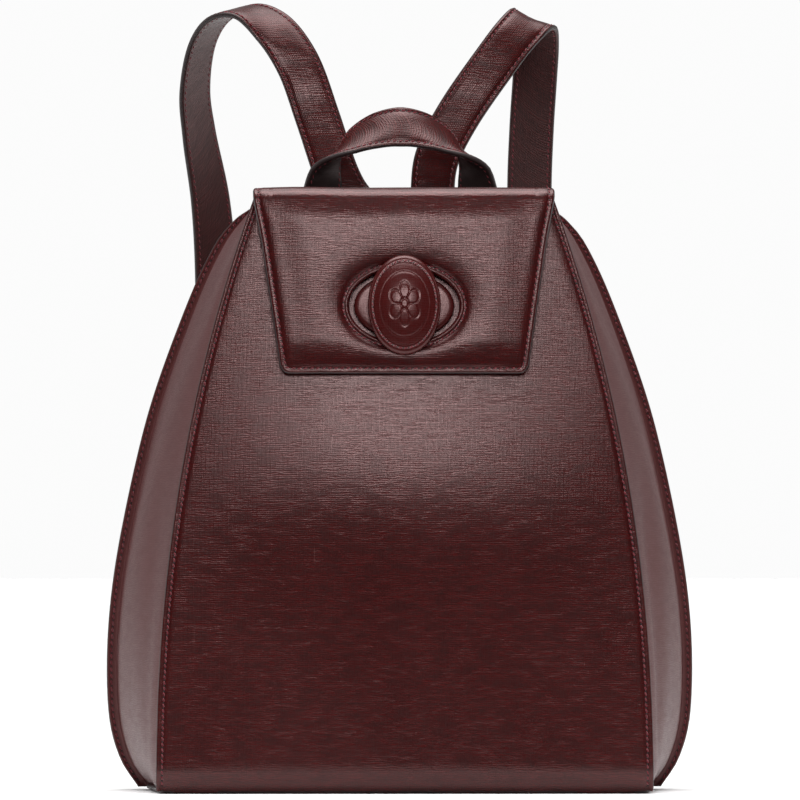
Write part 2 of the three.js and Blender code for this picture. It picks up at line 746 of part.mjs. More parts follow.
function strapEnds(name, side, topX) {
  const top = panel(
    (u, v) => {
      const x = topX + (u - 0.5) * STRAP_WIDTH;
      const z = lerp(264, 287.5, v);
      return new THREE.Vector3(x, backY(x, z) + GAP + 2.9 + 1.6 * v * v, z);
    },
    2, 4, 2.6, FORWARD,
  );
  add(`strap_top_end_${name}`, top, leather());

  const tailPath = [
    [84.5, 95.1],
    [78.6, 78],
    [74.6, 62],
    [70.4, 45],
    [68.3, 28],
  ].map(([y, z]) => ({
    centre: new THREE.Vector3(side * ANCHOR_X, y, z),
    across: new THREE.Vector3(1, 0, 0),
  }));
  const tail = ribbon(ribbonFrames(tailPath, 12), STRAP_WIDTH - 1, -STRAP_OUTER, STRAP_LINING + GAP);
  let solid = toSolid(tail);
  const slot = new THREE.BoxGeometry(4.6, 16, 18);
  slot.translate(side * ANCHOR_X, 76, 68);
  solid = solid.subtract(toSolid(slot));
  for (const z of [50, 38]) {
    const hole = new THREE.CylinderGeometry(1.7, 1.7, 16, 10);
    hole.translate(side * ANCHOR_X, 71, z);
    solid = solid.subtract(toSolid(hole));
  }
  add(`strap_tail_${name}`, fromSolid(solid), leather());
}

function makeStraps() {
  for (const [name, side] of SIDES) {
    const frames = ribbonFrames(asStations(side < 0 ? LEFT_STRAP : RIGHT_STRAP), 44);
    add(`strap_leather_${name}`, ribbon(frames, STRAP_WIDTH, -STRAP_OUTER, 0), leather());
    const lining = ribbon(frames, STRAP_WIDTH, GAP, GAP + STRAP_LINING);
    add(`strap_lining_${name}`, lining, leather(DARK_BURGUNDY));
    strapEnds(name, side, side < 0 ? -17 : 16.5);
  }

  const yoke = panel(
    (u, v) => {
      const x = (2 * u - 1) * 56;
      const z = lerp(258, 284, v);
      return new THREE.Vector3(x, backY(x, z) + 6.6, z);
    },
    8, 4, 1.6, FORWARD,
  );
  add('back_yoke', yoke, leather());
}

// ---- buckles at the lower anchors ----
function makeBuckle(name, side) {
  const x = side * ANCHOR_X;
  const tab = panel(
    (u, v) => {
      const z = lerp(12, 59.6, v);
      const lift = 1.9 + 4.9 * Math.max((z - 26) / 33.6, 0) ** 1.6;
      const across = x + (u - 0.5) * (STRAP_WIDTH - 0.5);
      return new THREE.Vector3(across, backY(x, z) + GAP + lift, z);
    },
    2, 8, 1.7, FORWARD,
  );
  const sleeveProfile = [
    [2.1, -11],
    [3.6, -11],
    [3.6, 11],
    [2.1, 11],
    [2.1, -11],
  ].map(([r, h]) => new THREE.Vector2(r, h));
  const sleeve = new THREE.LatheGeometry(sleeveProfile, 16);
  sleeve.rotateZ(Math.PI / 2);
  sleeve.translate(x, BAR.y, BAR.z);
  const notch = new THREE.BoxGeometry(5.6, 12, 9);
  notch.translate(x, BAR.y, BAR.z + 0.6);
  add(`lower_tab_${name}`, cut(join(tab, sleeve), notch), leather());

  const topBar = { y: 86.2, z: 84 };
  const corners = [
    [x - 14, BAR.y, BAR.z],
    [x + 14, BAR.y, BAR.z],
    [x + 14, topBar.y, topBar.z],
    [x - 14, topBar.y, topBar.z],
  ].map((c) => new THREE.Vector3(...c));
  const path = new THREE.CurvePath();
  corners.forEach((corner, i) => {
    const next = corners[(i + 1) % 4];
    const after = corners[(i + 2) % 4];
    const start = corner.clone().lerp(next, 3 / corner.distanceTo(next));
    const end = next.clone().lerp(corner, 3 / corner.distanceTo(next));
    const turn = next.clone().lerp(after, 3 / next.distanceTo(after));
    path.add(new THREE.LineCurve3(start, end));
    path.add(new THREE.QuadraticBezierCurve3(end, next, turn));
  });
  const flat = corners[1].clone().sub(corners[0]).cross(corners[3].clone().sub(corners[0])).normalize();
  add(`buckle_frame_${name}`, ringBar(path, flat, 1.5, 32, 7), metal());

  const eyeProfile = [
    [1.85, -2.1],
    [3.1, -2.1],
    [3.1, 2.1],
    [1.85, 2.1],
    [1.85, -2.1],
  ].map(([r, h]) => new THREE.Vector2(r, h));
  const eye = new THREE.LatheGeometry(eyeProfile, 16);
  eye.rotateZ(Math.PI / 2);
  eye.translate(x, BAR.y, BAR.z);
  const reach = new THREE.Vector3(0, topBar.y + 4.7 - BAR.y, topBar.z + 0.8 - BAR.z);
  const needle = new THREE.CylinderGeometry(0.9, 1.3, reach.length() - 1.5, 10);
  needle.translate(0, reach.length() / 2 + 1.6, 0);
  needle.applyQuaternion(new THREE.Quaternion().setFromUnitVectors(BACKWARD, reach.clone().normalize()));
  needle.translate(x, BAR.y, BAR.z);
  add(`buckle_prong_${name}`, join(eye, needle), metal());

  const keeper = new THREE.Shape();
  const [w, low, high] = [STRAP_WIDTH / 2 + 0.8, 60.6, 73.4];
  keeper.moveTo(-w - 1.2, low);
  keeper.lineTo(w + 1.2, low);
  keeper.lineTo(w + 1.2, high + 1.2);
  keeper.lineTo(-w - 1.2, high + 1.2);
  keeper.closePath();
  const inside = [
    [-w, low + 1.2],
    [w, low + 1.2],
    [w, high],
    [-w, high],
  ].map(([a, b]) => new THREE.Vector2(a, b));
  keeper.holes.push(new THREE.Path(inside));
  const loop = new THREE.ExtrudeGeometry(keeper, { depth: 7, bevelEnabled: false });
  loop.translate(x, 0, 40);
  add(`keeper_loop_${name}`, loop, leather());
}

makeBody();
makeLining();
makeFacings();
makePocket();
makeLock();
makeFlap();
makeHandle();
makeStraps();
for (const [name, side] of SIDES) makeBuckle(name, side);

export default bag;
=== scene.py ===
import math

import bmesh
import bpy
import numpy as np
from mathutils import Euler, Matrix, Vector


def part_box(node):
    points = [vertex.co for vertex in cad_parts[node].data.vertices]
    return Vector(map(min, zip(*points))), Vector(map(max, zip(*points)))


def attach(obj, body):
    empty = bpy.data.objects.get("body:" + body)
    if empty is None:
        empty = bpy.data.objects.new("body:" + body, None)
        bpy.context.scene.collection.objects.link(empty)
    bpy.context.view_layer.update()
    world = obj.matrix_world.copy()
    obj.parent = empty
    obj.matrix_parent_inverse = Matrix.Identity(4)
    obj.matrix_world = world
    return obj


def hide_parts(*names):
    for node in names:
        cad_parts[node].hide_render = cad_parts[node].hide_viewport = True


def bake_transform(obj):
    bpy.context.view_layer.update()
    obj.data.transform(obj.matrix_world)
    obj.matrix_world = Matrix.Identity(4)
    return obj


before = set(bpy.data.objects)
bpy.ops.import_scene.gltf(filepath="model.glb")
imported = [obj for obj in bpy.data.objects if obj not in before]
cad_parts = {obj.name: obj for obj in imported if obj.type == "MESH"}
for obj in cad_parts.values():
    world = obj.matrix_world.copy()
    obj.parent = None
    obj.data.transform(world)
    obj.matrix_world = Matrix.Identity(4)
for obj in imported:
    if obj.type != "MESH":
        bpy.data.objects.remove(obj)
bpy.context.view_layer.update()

MM = 0.001  # shapes are worked out in millimetres and made in metres
rng = np.random.default_rng(7)

# ---------------------------------------------------------------- the body's driving dimensions, in mm


def corners(node):
    """Lowest and highest corner of a CAD node, in mm."""
    low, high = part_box(node)
    return np.array(low) / MM, np.array(high) / MM


FRONT_HIGH = corners("front_panel")[1]
BACK_HIGH = corners("back_panel")[1]
FRONT_TOP = FRONT_HIGH[2]
FRONT_HALF_FOOT = FRONT_HIGH[0]
FRONT_TAPER = 49.0  # how much narrower each side of the front is at its top
TAPER_POWER = 2.2
FRONT_Y_FOOT = -62.0
FRONT_LEAN = 29.0  # how far the front leans back over its height
FRONT_CROWN = 4.0
BELLY = 3.6  # the soft panel stands a little prouder below the flap
BELLY_HEIGHT, BELLY_REACH = 148.0, 50.0
FOOT_CURL = 6.0
FOOT_CURL_HEIGHT = 12.0
SHOULDER_TOP = 291.0
BACK_RISE = BACK_HIGH[2] - SHOULDER_TOP
BACK_Y_FOOT = 60.0
BACK_LEAN = 22.0
BACK_CROWN = 3.0
GUSSET_BULGE = 4.0
PANEL = 2.0  # leather thickness of the body
LINING = 0.7  # cloth thickness of the lining
FLANGE = 4.2  # width of the sewn edge that stands out round the back panel
FOOT_TUCK = 2.5  # how far a gusset turns in at its foot
FLARE = 1.9  # the sewn edge reaches a little past the CAD panel's edge
FOOT = 0.9  # the leather starts this far above the floor

BACK_OUTLINE = np.array([
    (129, 0), (139, 16), (144.6, 40), (144.6, 82), (138.5, 128),
    (125, 188), (107, 243), (94, 272), (84, 285), (76, SHOULDER_TOP),
], float)


def smooth(low, high, value):
    """Rises from 0 at low to 1 at high."""
    t = np.clip((np.asarray(value, float) - low) / (high - low), 0, 1)
    return t * t * (3 - 2 * t)


def bump(value, centre, width):
    """A smooth hump of height 1."""
    return np.exp(-(((value - centre) / width) ** 2))


def catmull(points, count, centripetal=False):
    """Points along a smooth curve through the given points, `count` of them, even in parameter."""
    points = np.asarray(points, float)
    first = 2 * points[0] - points[1]
    last = 2 * points[-1] - points[-2]
    padded = np.vstack([first, points, last])
    places = np.linspace(0, len(points) - 1, count)
    result = []
    for place in places:
        k = min(int(place), len(points) - 2)
        t = place - k
        p0, p1, p2, p3 = padded[k:k + 4]
        if centripetal:
            d0 = max(np.linalg.norm(p1 - p0) ** 0.5, 1e-4)
            d1 = max(np.linalg.norm(p2 - p1) ** 0.5, 1e-4)
            d2 = max(np.linalg.norm(p3 - p2) ** 0.5, 1e-4)
            m1 = ((p1 - p0) / d0 - (p2 - p0) / (d0 + d1) + (p2 - p1) / d1) * d1
            m2 = ((p2 - p1) / d1 - (p3 - p1) / (d1 + d2) + (p3 - p2) / d2) * d1
        else:
            m1 = (p2 - p0) / 2
            m2 = (p3 - p1) / 2
        a = 2 * t**3 - 3 * t**2 + 1
        b = t**3 - 2 * t**2 + t
        c = -2 * t**3 + 3 * t**2
        d = t**3 - t**2
        result.append(a * p1 + b * m1 + c * p2 + d * m2)
    return np.array(result)


OUTLINE = catmull(BACK_OUTLINE, 400)


def front_half(z):
    return FRONT_HALF_FOOT - FRONT_TAPER * (np.asarray(z, float) / FRONT_TOP) ** TAPER_POWER


def back_half(z):
    return np.interp(z, OUTLINE[:, 1], OUTLINE[:, 0]) + FLARE * (1 - smooth(180, 270, z))


def front_y(across, z):
    z = np.asarray(z, float)
    lean = FRONT_Y_FOOT + FRONT_LEAN * (z / FRONT_TOP)
    curl = FOOT_CURL * np.maximum(1 - z / FOOT_CURL_HEIGHT, 0) ** 2
    crown = FRONT_CROWN * (1 - across**2) * np.sin(np.pi * z / FRONT_TOP)
    belly = BELLY * (1 - across**2) * bump(z, BELLY_HEIGHT, BELLY_REACH)
    return lean + curl - crown - belly


def back_y(x, z):
    z = np.asarray(z, float)
    flat = BACK_Y_FOOT - BACK_LEAN * (z / (SHOULDER_TOP + BACK_RISE)) ** 2
    across = 1 - np.minimum(np.abs(x) / 140, 1) ** 2
    return flat + BACK_CROWN * across * np.sin(np.pi * np.minimum(z, SHOULDER_TOP) / SHOULDER_TOP)


# ---------------------------------------------------------------- mesh helpers


def unit(v):
    return v / np.maximum(np.linalg.norm(v, axis=-1, keepdims=True), 1e-9)


def normals_of(grid, closed=False):
    """Unit normals of a rows x columns grid of points: columns direction x rows direction."""
    across = np.gradient(grid, axis=1)
    if closed:
        along = (np.roll(grid, -1, axis=0) - np.roll(grid, 1, axis=0)) / 2
    else:
        along = np.gradient(grid, axis=0)
    return unit(np.cross(across, along))


def walk(line):
    """Distance along a line of points from its first point."""
    return np.concatenate([[0], np.cumsum(np.linalg.norm(np.diff(line, axis=0), axis=1))])


def pick(line, walked, places):
    """The line's points at distances along it."""
    return np.stack([np.interp(places, walked, line[:, k]) for k in range(line.shape[1])], axis=-1)


def arcs(grid, axis):
    """Distance along the grid's lines from their first point."""
    steps = np.linalg.norm(np.diff(grid, axis=axis), axis=2)
    shape = list(grid.shape[:2])
    shape[axis] = 1
    return np.concatenate([np.zeros(shape), np.cumsum(steps, axis=axis)], axis=axis)


def border_distance(grid, borders="lrbt"):
    """Distance of each grid point from the nearest of the named borders."""
    across = arcs(grid, 1)
    along = arcs(grid, 0)
    near = np.full(grid.shape[:2], 1e3)
    if "l" in borders:
        near = np.minimum(near, across)
    if "r" in borders:
        near = np.minimum(near, across[:, -1:] - across)
    if "b" in borders:
        near = np.minimum(near, along)
    if "t" in borders:
        near = np.minimum(near, along[-1:, :] - along)
    return near


EDGE_PLACES = [0.0, 0.08, 0.25, 0.55, 0.95, 1.45, 2.0, 2.5, 3.0, 3.6, 4.4, 5.4, 6.6]


def spaced(length, step, edges=EDGE_PLACES):
    """Places along a length: close together near both ends and about `step` apart between."""
    near = [d for d in edges if d < length / 2 - step / 3]
    middle_length = length - 2 * near[-1]
    count = max(int(round(middle_length / step)), 1)
    middle = np.linspace(near[-1], length - near[-1], count + 1)[1:-1]
    return np.concatenate([near, middle, [length - d for d in reversed(near)]])


def make_object(name, points, faces, looks, face_looks=None, uvs=None):
    """A smooth-shaded mesh object from points in mm."""
    mesh = bpy.data.meshes.new(name)
    mesh.from_pydata((np.asarray(points) * MM).tolist(), [], faces)
    for look in looks:
        mesh.materials.append(look)
    if face_looks is not None:
        mesh.polygons.foreach_set("material_index", np.asarray(face_looks, np.int32))
    mesh.polygons.foreach_set("use_smooth", np.ones(len(mesh.polygons), bool))
    if uvs is not None:
        layer = mesh.uv_layers.new(name="grain")
        loops = np.zeros(len(mesh.loops), np.int32)
        mesh.loops.foreach_get("vertex_index", loops)
        layer.data.foreach_set("uv", (np.asarray(uvs)[loops] * MM).astype(np.float32).ravel())
    obj = bpy.data.objects.new(name, mesh)
    bpy.context.scene.collection.objects.link(obj)
    return obj


def merge_close(obj):
    """Joins the coinciding border points, so the sheet is one closed skin, and turns its faces out."""
    work = bmesh.new()
    work.from_mesh(obj.data)
    bmesh.ops.remove_doubles(work, verts=work.verts, dist=2e-6)
    bmesh.ops.recalc_face_normals(work, faces=work.faces)
    work.to_mesh(obj.data)
    work.free()
    return obj


def cells(rows, columns, closed=False):
    """The cells of a grid of points, as four point numbers each."""
    last = rows if closed else rows - 1
    row, column = np.meshgrid(np.arange(last), np.arange(columns - 1), indexing="ij")
    a = (row * columns + column).ravel()
    d = (((row + 1) % rows) * columns + column).ravel()
    return np.stack([a, a + 1, d + 1, d], axis=1)


def skin(rings, sides, base=0, closed=False):
    """Faces over stacked rings of points. Both ends are capped, unless the stack closes on itself."""
    faces = []
    for r in range(rings if closed else rings - 1):
        up = ((r + 1) % rings - r) * sides
        for k in range(sides):
            a = base + r * sides + k
            b = base + r * sides + (k + 1) % sides
            faces.append((a, b, b + up, a + up))
    if not closed:
        faces.append(tuple(base + k for k in reversed(range(sides))))
        faces.append(tuple(base + (rings - 1) * sides + k for k in range(sides)))
    return faces


def rounding(distance, half):
    """How far a surface drops near its edge, for a half-round edge."""
    inside = half - np.minimum(distance, half)
    return half - np.sqrt(np.maximum(half**2 - inside**2, 0))


def settle(piece, slot, *nodes, body="bag"):
    """The piece rides a body and stands for the CAD nodes named. slot is not used."""
    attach(piece, body)
    if nodes:
        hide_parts(*nodes)


def sheet(name, grid, top, bottom, looks, flip=False, borders="lrbt", lift=None, grooves=(), paint=0.0,
          closed=False):
    """A closed piece of leather or cloth on a grid of points, with rounded edges.

    top and bottom are the heights of its two faces along the normal. looks holds the material of the
    top, the bottom and the painted edge. grooves are (distance from the border, depth, width).
    """
    grid = np.asarray(grid, float)
    normal = normals_of(grid, closed) * (-1 if flip else 1)
    distance = border_distance(grid, borders)
    half = (top - bottom) / 2
    drop = rounding(distance, half)
    upper = top - drop
    lower = bottom + drop
    for place, depth, width in grooves:
        upper = upper - depth * bump(distance, place, width)
    if lift is not None:
        upper = upper + lift * smooth(0, 2 * half, distance)
    rows, columns = grid.shape[:2]
    top_points = grid + normal * upper[..., None]
    low_points = grid + normal * lower[..., None]
    points = np.concatenate([top_points.reshape(-1, 3), low_points.reshape(-1, 3)])
    across = arcs(grid, 1)
    across = across - across[:, columns // 2][:, None]
    along = arcs(grid, 0)
    uv = np.stack([across, along], axis=2).reshape(-1, 2)
    upper_faces = cells(rows, columns, closed)
    edge = distance.ravel()[upper_faces[:, ::2]].mean(axis=1) < paint
    if flip:
        upper_faces = upper_faces[:, ::-1]
    faces = np.concatenate([upper_faces, upper_faces[:, ::-1] + rows * columns])
    looks_of = np.concatenate([np.where(edge, 2, 0), np.where(edge, 2, 1)])
    return merge_close(make_object(name, points, faces.tolist(), looks, looks_of, np.concatenate([uv, uv])))


def inset_line(grid, side, distance, height, flip=False, trim=0.0):
    """Points and normals along a grid's surface, a distance in from one border."""
    normal = normals_of(grid) * (-1 if flip else 1)
    if side in "bt":
        grid = grid.transpose(1, 0, 2)
        normal = normal.transpose(1, 0, 2)
    across = arcs(grid, 1)
    places = [distance if side in "lb" else row[-1] - distance for row in across]
    points = np.array([pick(grid[i], across[i], place) for i, place in enumerate(places)])
    turned = unit(np.array([pick(normal[i], across[i], place) for i, place in enumerate(places)]))
    length = walk(points)
    keep = (length >= trim) & (length <= length[-1] - trim)
    return points[keep] + turned[keep] * height, turned[keep]


class Stitches:
    """Gathers rows of thread stitches, each needle hole between them drawn as a dark disc of painted shade,
    into one object.
    """

    RINGS = ((-1.0, 0.12), (-0.86, 0.62), (-0.5, 0.95), (0.0, 1.0), (0.5, 0.95), (0.86, 0.62), (1.0, 0.12))
    SIDES = 6
    SLANT = 20.0
    THREAD_HEIGHT = 0.36
    HOLE_SHARE = 0.62

    def __init__(self, name):
        self.name = name
        self.points = []
        self.faces = []
        self.looks = []

    def row(self, line, normals, pitch=2.8, length=2.2, width=0.86, loop=False):
        """One row along a line. Each stitch is a little slanted and no two are quite alike."""
        line = np.asarray(line)
        if loop:
            line = np.vstack([line, line[:1]])
            normals = np.vstack([normals, normals[:1]])
        walked = walk(line)
        count = max(int(round(walked[-1] / pitch)), 1)
        pitch = walked[-1] / count
        for i in range(count):
            centre, tangent, normal = self.at(line, normals, walked, (i + 0.5) * pitch)
            side = np.cross(normal, tangent)
            angle = math.radians(self.SLANT + rng.uniform(-2.5, 2.5))
            tangent = tangent * math.cos(angle) + side * math.sin(angle)
            side = np.cross(normal, tangent)
            self.stitch(centre, tangent, side, normal, length * rng.uniform(0.95, 1.04), width)
            centre, tangent, normal = self.at(line, normals, walked, i * pitch)
            self.hole(centre, tangent, np.cross(normal, tangent), normal, width * self.HOLE_SHARE)

    @staticmethod
    def at(line, normals, walked, place):
        centre = pick(line, walked, place)
        ahead = pick(line, walked, place + 0.8)
        behind = pick(line, walked, place - 0.8)
        normal = unit(pick(normals, walked, place))
        tangent = unit(ahead - behind)
        tangent = unit(tangent - normal * tangent.dot(normal))
        return centre, tangent, normal

    def ring(self, centre, along, across):
        """One ring of points: along and across are the vectors to its two half-axes."""
        for k in range(self.SIDES):
            angle = 2 * math.pi * k / self.SIDES
            self.points.append(centre + along * math.cos(angle) + across * math.sin(angle))

    def close(self, base, rings, look):
        faces = skin(rings, self.SIDES, base)
        self.faces += faces
        self.looks += [look] * len(faces)

    def stitch(self, centre, tangent, side, normal, length, width):
        base = len(self.points)
        for place, size in self.RINGS:
            dip = 0.08 - 0.22 * place * place
            middle = centre + tangent * place * length / 2 + normal * dip
            self.ring(middle, side * size * width / 2, normal * size * self.THREAD_HEIGHT)
        self.close(base, len(self.RINGS), 0)

    def hole(self, centre, tangent, side, normal, radius):
        # a dark disc standing for the hole: painted shade in the needle hole
        base = len(self.points)
        for lift, size in ((0.05, 1.0), (0.09, 0.5)):
            self.ring(centre + normal * lift, tangent * 0.8 * radius * size, side * radius * size)
        self.close(base, 2, 1)

    def finish(self):
        obj = make_object(self.name, self.points, self.faces, [thread, needle_hole_shade], self.looks)
        return obj


def sew(rows, grid, borders, inset, height, flip=False, trim=3, facing=1, **size):
    """A row of stitches along each of a grid's borders; facing is -1 for its other side."""
    for border in borders:
        line, turned = inset_line(grid, border, inset, height, flip=flip, trim=trim)
        rows.row(line, turned * facing, **size)


STRAP_THREAD = {"pitch": 3.05, "length": 2.3, "width": 0.7}
BACK_THREAD = {"pitch": 3.3, "length": 2.5}


# ---------------------------------------------------------------- materials


class Nodes:
    """Short hand for building a material's node tree."""

    def __init__(self, name):
        self.material = bpy.data.materials.new(name)
        self.material.use_nodes = True
        self.tree = self.material.node_tree
        self.shader = self.tree.nodes["Principled BSDF"]

    def node(self, kind, **settings):
        """A new node. Each setting is a socket's value, or else a property of the node."""
        node = self.tree.nodes.new(kind)
        for key, value in settings.items():
            if key in node.inputs:
                node.inputs[key].default_value = value
            else:
                setattr(node, key, value)
        return node

    def link(self, out, into):
        self.tree.links.new(out, into)

    def coordinates(self, scale, source="UV"):
        place = self.node("ShaderNodeTexCoord")
        mapping = self.node("ShaderNodeMapping")
        mapping.inputs["Scale"].default_value = scale
        self.link(place.outputs[source], mapping.inputs["Vector"])
        return mapping.outputs["Vector"]

    def noise(self, scale, detail, roughness, distortion=0.0, source="UV"):
        noise = self.node("ShaderNodeTexNoise", Scale=1.0, Detail=detail, Roughness=roughness,
                          Distortion=distortion)
        self.link(self.coordinates(scale, source), noise.inputs["Vector"])
        return noise.outputs["Fac"]

    def bands(self, direction, scale, distortion, detail_scale):
        wave = self.node("ShaderNodeTexWave", wave_type="BANDS", bands_direction=direction, Scale=1.0,
                         Distortion=distortion, Detail=2.0, **{"Detail Scale": detail_scale})
        self.link(self.coordinates(scale), wave.inputs["Vector"])
        return wave.outputs["Fac"]

    def ramp(self, value, stops):
        ramp = self.node("ShaderNodeValToRGB")
        while len(ramp.color_ramp.elements) < len(stops):
            ramp.color_ramp.elements.new(0.5)
        for element, (place, colour) in zip(ramp.color_ramp.elements, stops):
            element.position = place
            element.color = colour if len(colour) == 4 else (*colour, 1)
        self.link(value, ramp.inputs["Fac"])
        return ramp.outputs["Color"]

    def math(self, operation, *values):
        node = self.node("ShaderNodeMath", operation=operation)
        for socket, value in zip(node.inputs, values):
            if isinstance(value, (int, float)):
                socket.default_value = value
            else:
                self.link(value, socket)
        return node.outputs[0]

    def mix(self, factor, a, b):
        node = self.node("ShaderNodeMix", data_type="RGBA")
        for socket, value in ((node.inputs[0], factor), (node.inputs[6], a), (node.inputs[7], b)):
            if isinstance(value, (int, float)):
                socket.default_value = value
            elif isinstance(value, tuple):
                socket.default_value = (*value, 1)
            else:
                self.link(value, socket)
        return node.outputs[2]

    def bump(self, height, distance, strength=1.0, before=None):
        node = self.node("ShaderNodeBump", Distance=distance, Strength=strength)
        self.link(height, node.inputs["Height"])
        if before is not None:
            self.link(before, node.inputs["Normal"])
        return node.outputs["Normal"]


def grey(value):
    return (value, value, value)


BAND = 0.3142  # one period of Blender's wave texture at scale 1


def leather(name, base, dark, roughness=0.18, grain=1.0, crease=1.05, scratches=False):
    """Grained leather. Its wavy creases run across the piece, with finer ones crossing them.

    grain is the depth of the creases and the strength of the painted shade in their valleys, and crease their
    spacing in mm.
    """
    n = Nodes(name)
    coarse = BAND / (crease * MM)
    fine = BAND / (crease * 0.62 * MM)
    creases = n.bands("Y", (coarse * 0.30, coarse, 1.0), 6.5, 1.7)
    crossing = n.bands("X", (fine, fine * 0.16, 1.0), 5.0, 1.4)
    streaks = n.noise((210.0, 1150.0, 1.0), 2.0, 0.6, 0.6)
    fading = n.noise((90.0, 210.0, 1.0), 2.0, 0.6)
    pores = n.noise((1500.0, 1900.0, 1.0), 2.0, 0.7)
    faded = n.math("MULTIPLY", creases, n.ramp(fading, [(0.34, grey(0.25)), (0.60, grey(1.0))]))
    height = n.math("MULTIPLY", faded, 0.36)
    height = n.math("ADD", height, n.math("MULTIPLY", streaks, 0.34))
    height = n.math("ADD", height, n.math("MULTIPLY", crossing, 0.26))
    height = n.math("ADD", height, n.math("MULTIPLY", pores, 0.20))
    broad = n.noise((14.0, 11.0, 1.0), 3.0, 0.55)
    tone = n.ramp(broad, [(0.32, base), (0.70, tuple(min(c * 1.16, 1) for c in base))])
    # valley is 1 in the low places of the grain's bump pattern; the colour is mixed towards dark there:
    # painted shade in the creases
    valley = n.ramp(height, [(0.40, grey(1.0)), (0.66, grey(0.0))])
    colour = n.mix(n.math("MULTIPLY", valley, min(0.95 * grain, 1.0)), tone, dark)
    if scratches:
        marks = n.noise((620.0, 30.0, 1.0), 1.0, 0.4, 0.2)
        few = n.noise((26.0, 20.0, 1.0), 1.0, 0.5)
        thin = n.ramp(marks, [(0.735, grey(0)), (0.765, grey(1))])
        where = n.ramp(few, [(0.60, grey(0)), (0.70, grey(1))])
        worn = n.math("MULTIPLY", n.math("MULTIPLY", thin, where), 0.25)
        colour = n.mix(worn, colour, (0.20, 0.09, 0.08))
    n.link(colour, n.shader.inputs["Base Color"])
    rough = n.math("MULTIPLY_ADD", broad, 0.10, roughness - 0.05)
    n.link(n.math("ADD", rough, n.math("MULTIPLY", valley, 0.14)), n.shader.inputs["Roughness"])
    soft = n.noise((60.0, 75.0, 1.0), 2.0, 0.5)
    normal = n.bump(soft, 0.0004, 0.25)
    n.link(n.bump(height, 0.00008 * grain, 1.0, normal), n.shader.inputs["Normal"])
    n.shader.inputs["Specular IOR Level"].default_value = 0.5
    n.shader.inputs["Specular Tint"].default_value = (1.0, 0.70, 0.69, 1.0)
    n.shader.inputs["Coat Weight"].default_value = 0.03
    n.shader.inputs["Coat Roughness"].default_value = 0.26
    return n.material


def edge_paint(name, colour):
    """The painted edge of cut leather, and the painted shade in needle holes: dark, a little uneven."""
    n = Nodes(name)
    lumps = n.noise((420.0, 420.0, 420.0), 3.0, 0.6, source="Object")
    light = tuple(min(c * 1.7, 1) for c in colour)
    n.link(n.ramp(lumps, [(0.35, colour), (0.75, light)]), n.shader.inputs["Base Color"])
    n.link(n.bump(lumps, 0.0003, 0.5), n.shader.inputs["Normal"])
    n.shader.inputs["Roughness"].default_value = 0.5
    return n.material


def thread_material(name, colour, light):
    """Waxed thread with fine fibres."""
    n = Nodes(name)
    fibres = n.noise((2600.0, 2600.0, 2600.0), 2.0, 0.6, source="Object")
    n.link(n.ramp(fibres, [(0.35, colour), (0.7, light)]), n.shader.inputs["Base Color"])
    n.link(n.bump(fibres, 0.0002, 0.6), n.shader.inputs["Normal"])
    n.shader.inputs["Roughness"].default_value = 0.55
    n.shader.inputs["Sheen Weight"].default_value = 0.3
    n.shader.inputs["Specular IOR Level"].default_value = 0.15
    return n.material


def cloth_material(name, colour, light):
    """Close-woven cotton lining."""
    n = Nodes(name)
    threads = []
    for direction in "XY":
        wave = n.node("ShaderNodeTexWave", wave_type="BANDS", bands_direction=direction, Scale=420.0,
                      Distortion=0.6)
        n.link(n.coordinates((1.0, 1.0, 1.0)), wave.inputs["Vector"])
        threads.append(wave.outputs["Fac"])
    weave = n.math("MULTIPLY", *threads)
    patches = n.noise((40.0, 40.0, 1.0), 3.0, 0.6)
    tone = n.ramp(patches, [(0.3, colour), (0.75, light)])
    n.link(n.mix(n.math("MULTIPLY", weave, 0.35), tone, light), n.shader.inputs["Base Color"])
    n.link(n.bump(weave, 0.0002, 0.6), n.shader.inputs["Normal"])
    n.shader.inputs["Roughness"].default_value = 0.88
    n.shader.inputs["Sheen Weight"].default_value = 0.2
    return n.material


def metal_material(name, colour, roughness=0.22):
    """Plated metal with faint smudges."""
    n = Nodes(name)
    brushed = n.noise((300.0, 300.0, 2400.0), 3.0, 0.6, source="Object")
    smudge = n.noise((60.0, 60.0, 60.0), 3.0, 0.6, source="Object")
    worn = tuple(c * 0.72 for c in colour)
    n.link(n.ramp(smudge, [(0.3, worn), (0.6, colour)]), n.shader.inputs["Base Color"])
    n.link(n.math("MULTIPLY_ADD", smudge, 0.22, roughness - 0.06), n.shader.inputs["Roughness"])
    n.link(n.bump(brushed, 0.00004, 0.5), n.shader.inputs["Normal"])
    n.shader.inputs["Metallic"].default_value = 1.0
    return n.material


def plain_material(name, colour, light, scale, roughness):
    """Foam, board and other hidden filling."""
    n = Nodes(name)
    grains = n.noise((scale, scale, scale), 4.0, 0.65, source="Object")
    n.link(n.ramp(grains, [(0.3, colour), (0.7, light)]), n.shader.inputs["Base Color"])
    n.link(n.bump(grains, 0.0004, 0.5), n.shader.inputs["Normal"])
    n.shader.inputs["Roughness"].default_value = roughness
    return n.material


